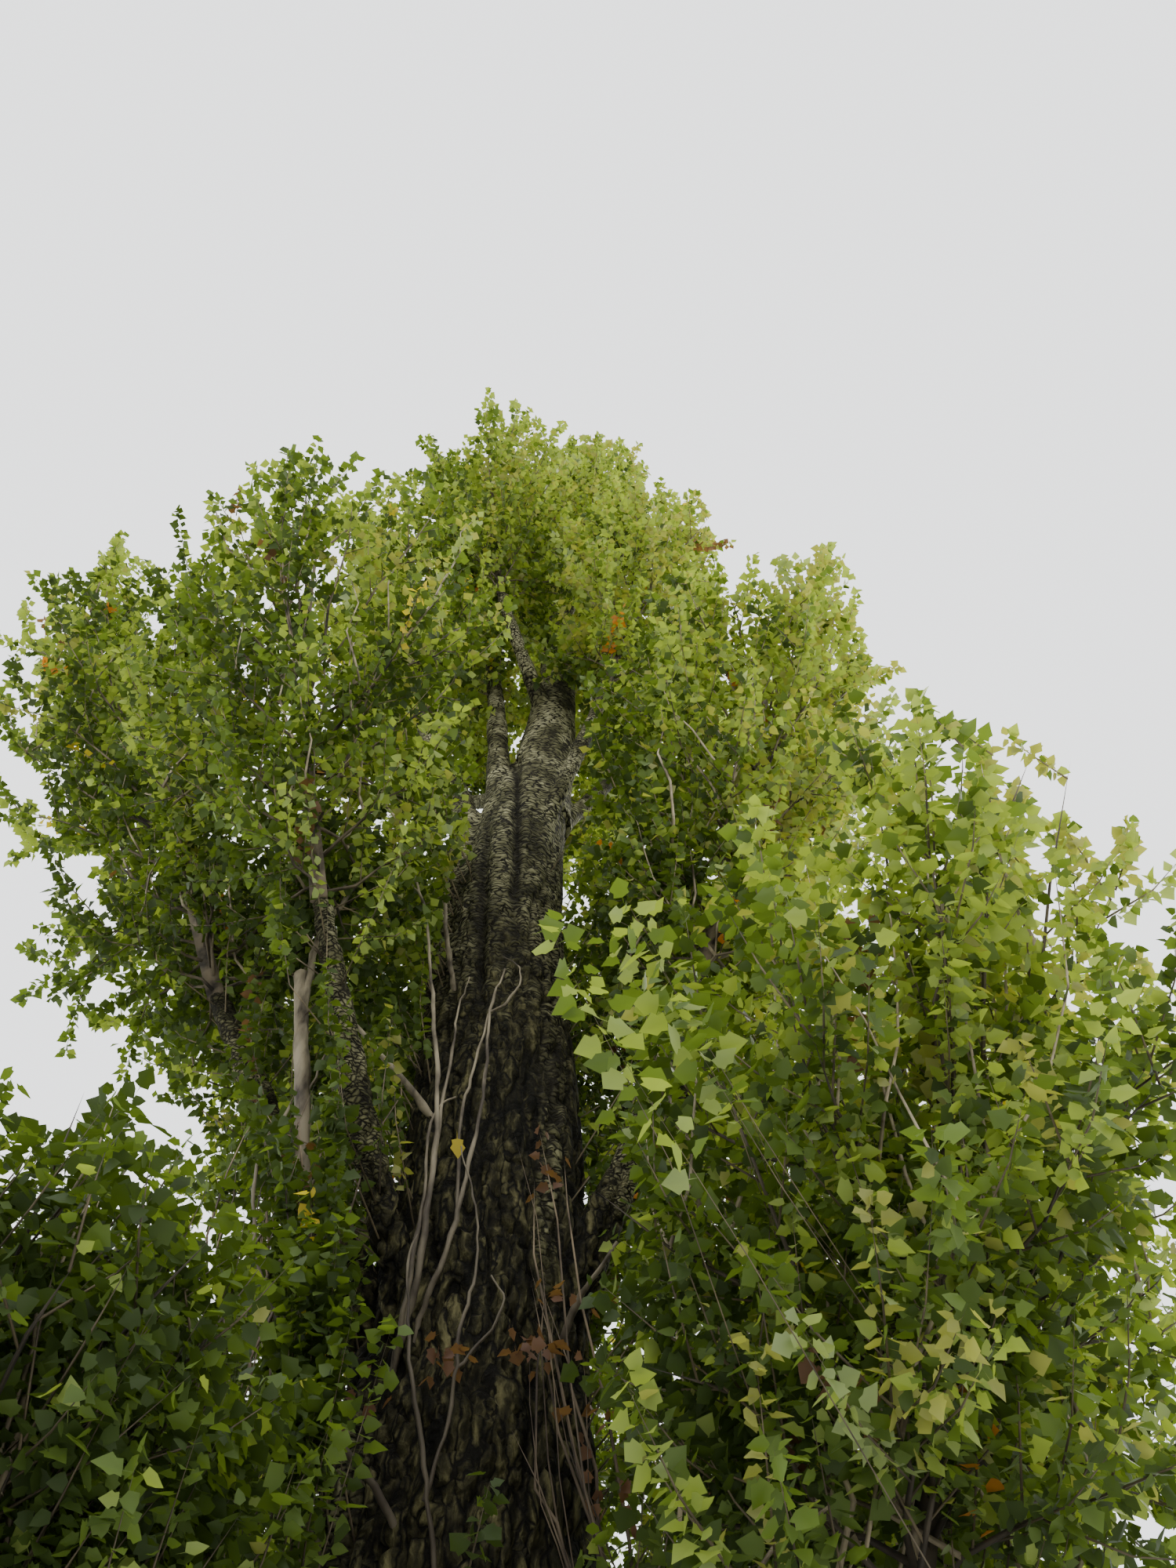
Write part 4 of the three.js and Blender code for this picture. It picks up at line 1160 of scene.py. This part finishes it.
# The thicket at the left front gets the deepest tints as painted shade.
painted_shade = np.where(cover_bows, 0.34, painted_shade)
chances = (LOW_SHARES * (1 - high) + HIGH_SHARES * high) * (1 - painted_sun) + PAINTED_SUN_SHARES * painted_sun
chances = np.cumsum(chances, axis=1)
chances /= chances[:, -1:]
clump = np.array([noise.noise(Vector(p) * 0.9) for p in spot])
spray_roll = np.clip(0.46 + clump * 0.85 - painted_shade + rng.normal(0, 0.15, len(bows)), 0.0, 0.93)
turned_early = rng.uniform(0, 1, len(bows)) < TURNED_EARLY
spray_roll = np.where(turned_early, rng.uniform(0.955, 1.0, len(bows)), spray_roll)
spray_tint = (spray_roll[:, None] > chances).sum(axis=1)
for turned in TURNED_SPRAYS:
    spray_tint[np.linalg.norm(spot - np.array(turned), axis=1).argmin()] = ORANGE
own_roll = (rng.uniform(0, 0.94, (len(owner), 1)) - painted_shade[owner][:, None] > chances[owner]).sum(axis=1)
faithful = rng.uniform(0, 1, len(owner)) < np.where(spray_tint[owner] >= YELLOW, 0.45, 0.60)
tint = np.where(faithful, spray_tint[owner], np.where(own_roll >= YELLOW, GREEN, own_roll))
front_tint = rng.choice([GREEN, BRIGHT, PALE], len(owner), p=[0.50, 0.38, 0.12])
tint = np.where(front_bows[owner], front_tint, tint)
tint = np.concatenate([tint, np.full(dead_count - 1, RUST), [YELLOW]])

tips = bases + axis * size[:, None]
inside = ((tips > edge_low) & (tips < edge_high)).all(axis=1) & (tips[:, 2] > 0.5)

# No leaf hangs before the upper part of the broken bough, so it stands in plain view from the front.
BOUGH_Y = -0.66
BOUGH_TOP = (7.83, -0.84)
BOUGH_CLEARANCE = 0.085
depth = (bases[:, 1] - EYE[1]) / (BOUGH_Y - EYE[1])
seen_x = EYE[0] + (bases[:, 0] - EYE[0]) / depth
seen_z = EYE[2] + (bases[:, 2] - EYE[2]) / depth
bough_line = [(z, x) for x, _, z in DEAD_SHOOTS["broken_bough"][2][1:]] + [BOUGH_TOP]
clear_width = BOUGH_CLEARANCE * np.clip((seen_z - 5.15) / 0.95, 0.0, 1.0)
before_bough = np.abs(seen_x - along(bough_line, seen_z)) < clear_width
inside &= ~((depth > 0.3) & (depth < 1.02) & before_bough & (seen_z < 7.5))


def leaf_material(name, colour):
    """Matt blade that lets part of the light through."""
    material, tree, blade = new_material(name)
    wire(tree, blade, {"Base Color": (*colour, 1.0), "Roughness": 0.5, "Specular IOR Level": 0.25})
    red, green, blue = colour
    through = (min(red * 2.2, 1.0), min(green * 2.2, 1.0), blue * 0.7, 1.0)
    glow = add_node(tree, "BsdfTranslucent", {"Color": through})
    both = add_node(tree, "MixShader", {0: GLOW_SHARE, 1: blade.outputs["BSDF"], 2: glow.outputs["BSDF"]})
    wire(tree, tree.nodes["Material Output"], {"Surface": both.outputs["Shader"]})
    return material


def grown(chosen, form):
    """Vertices and faces of one form of leaf at every chosen place."""
    verts, faces = form
    scale = size[chosen][:, None, None]
    placed = (bases[chosen][:, None, :]
              + across[chosen][:, None, :] * verts[None, :, 0:1] * scale
              + axis[chosen][:, None, :] * verts[None, :, 1:2] * scale
              + face[chosen][:, None, :] * verts[None, :, 2:3] * scale)
    index = faces[None] + (np.arange(len(chosen)) * len(verts))[:, None, None]
    return placed.reshape(-1, 3), index.reshape(-1, 3)


PIECE_LIMIT = 190000
form_of = np.select([lobed, broad, tiny], ["lobed", "broad", "tiny"], "small")
face_counts = [len(faces) for _, faces in LEAF_FORMS.values()]
face_cost = np.select([form_of == kind for kind in LEAF_FORMS], face_counts)
for number, (name, colour) in enumerate(TINTS.items()):
    material = leaf_material(name, colour)
    mine = np.flatnonzero((tint == number) & inside)
    mine = mine[np.argsort(height[mine], kind="stable")]
    cost = np.cumsum(face_cost[mine])
    parts = int(cost[-1] // PIECE_LIMIT) + 1
    for part in range(parts):
        some = mine[(cost > cost[-1] * part / parts) & (cost <= cost[-1] * (part + 1) / parts)]
        verts, faces = np.zeros((0, 3)), np.zeros((0, 3), dtype=int)
        for kind, form in LEAF_FORMS.items():
            more_verts, more_faces = grown(some[form_of[some] == kind], form)
            faces = np.concatenate([faces, more_faces + len(verts)])
            verts = np.concatenate([verts, more_verts])
        piece = mesh_piece(name if parts == 1 else f"{name}_{part + 1}", verts, faces, material, "foliage")
        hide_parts(*foliage_nodes)
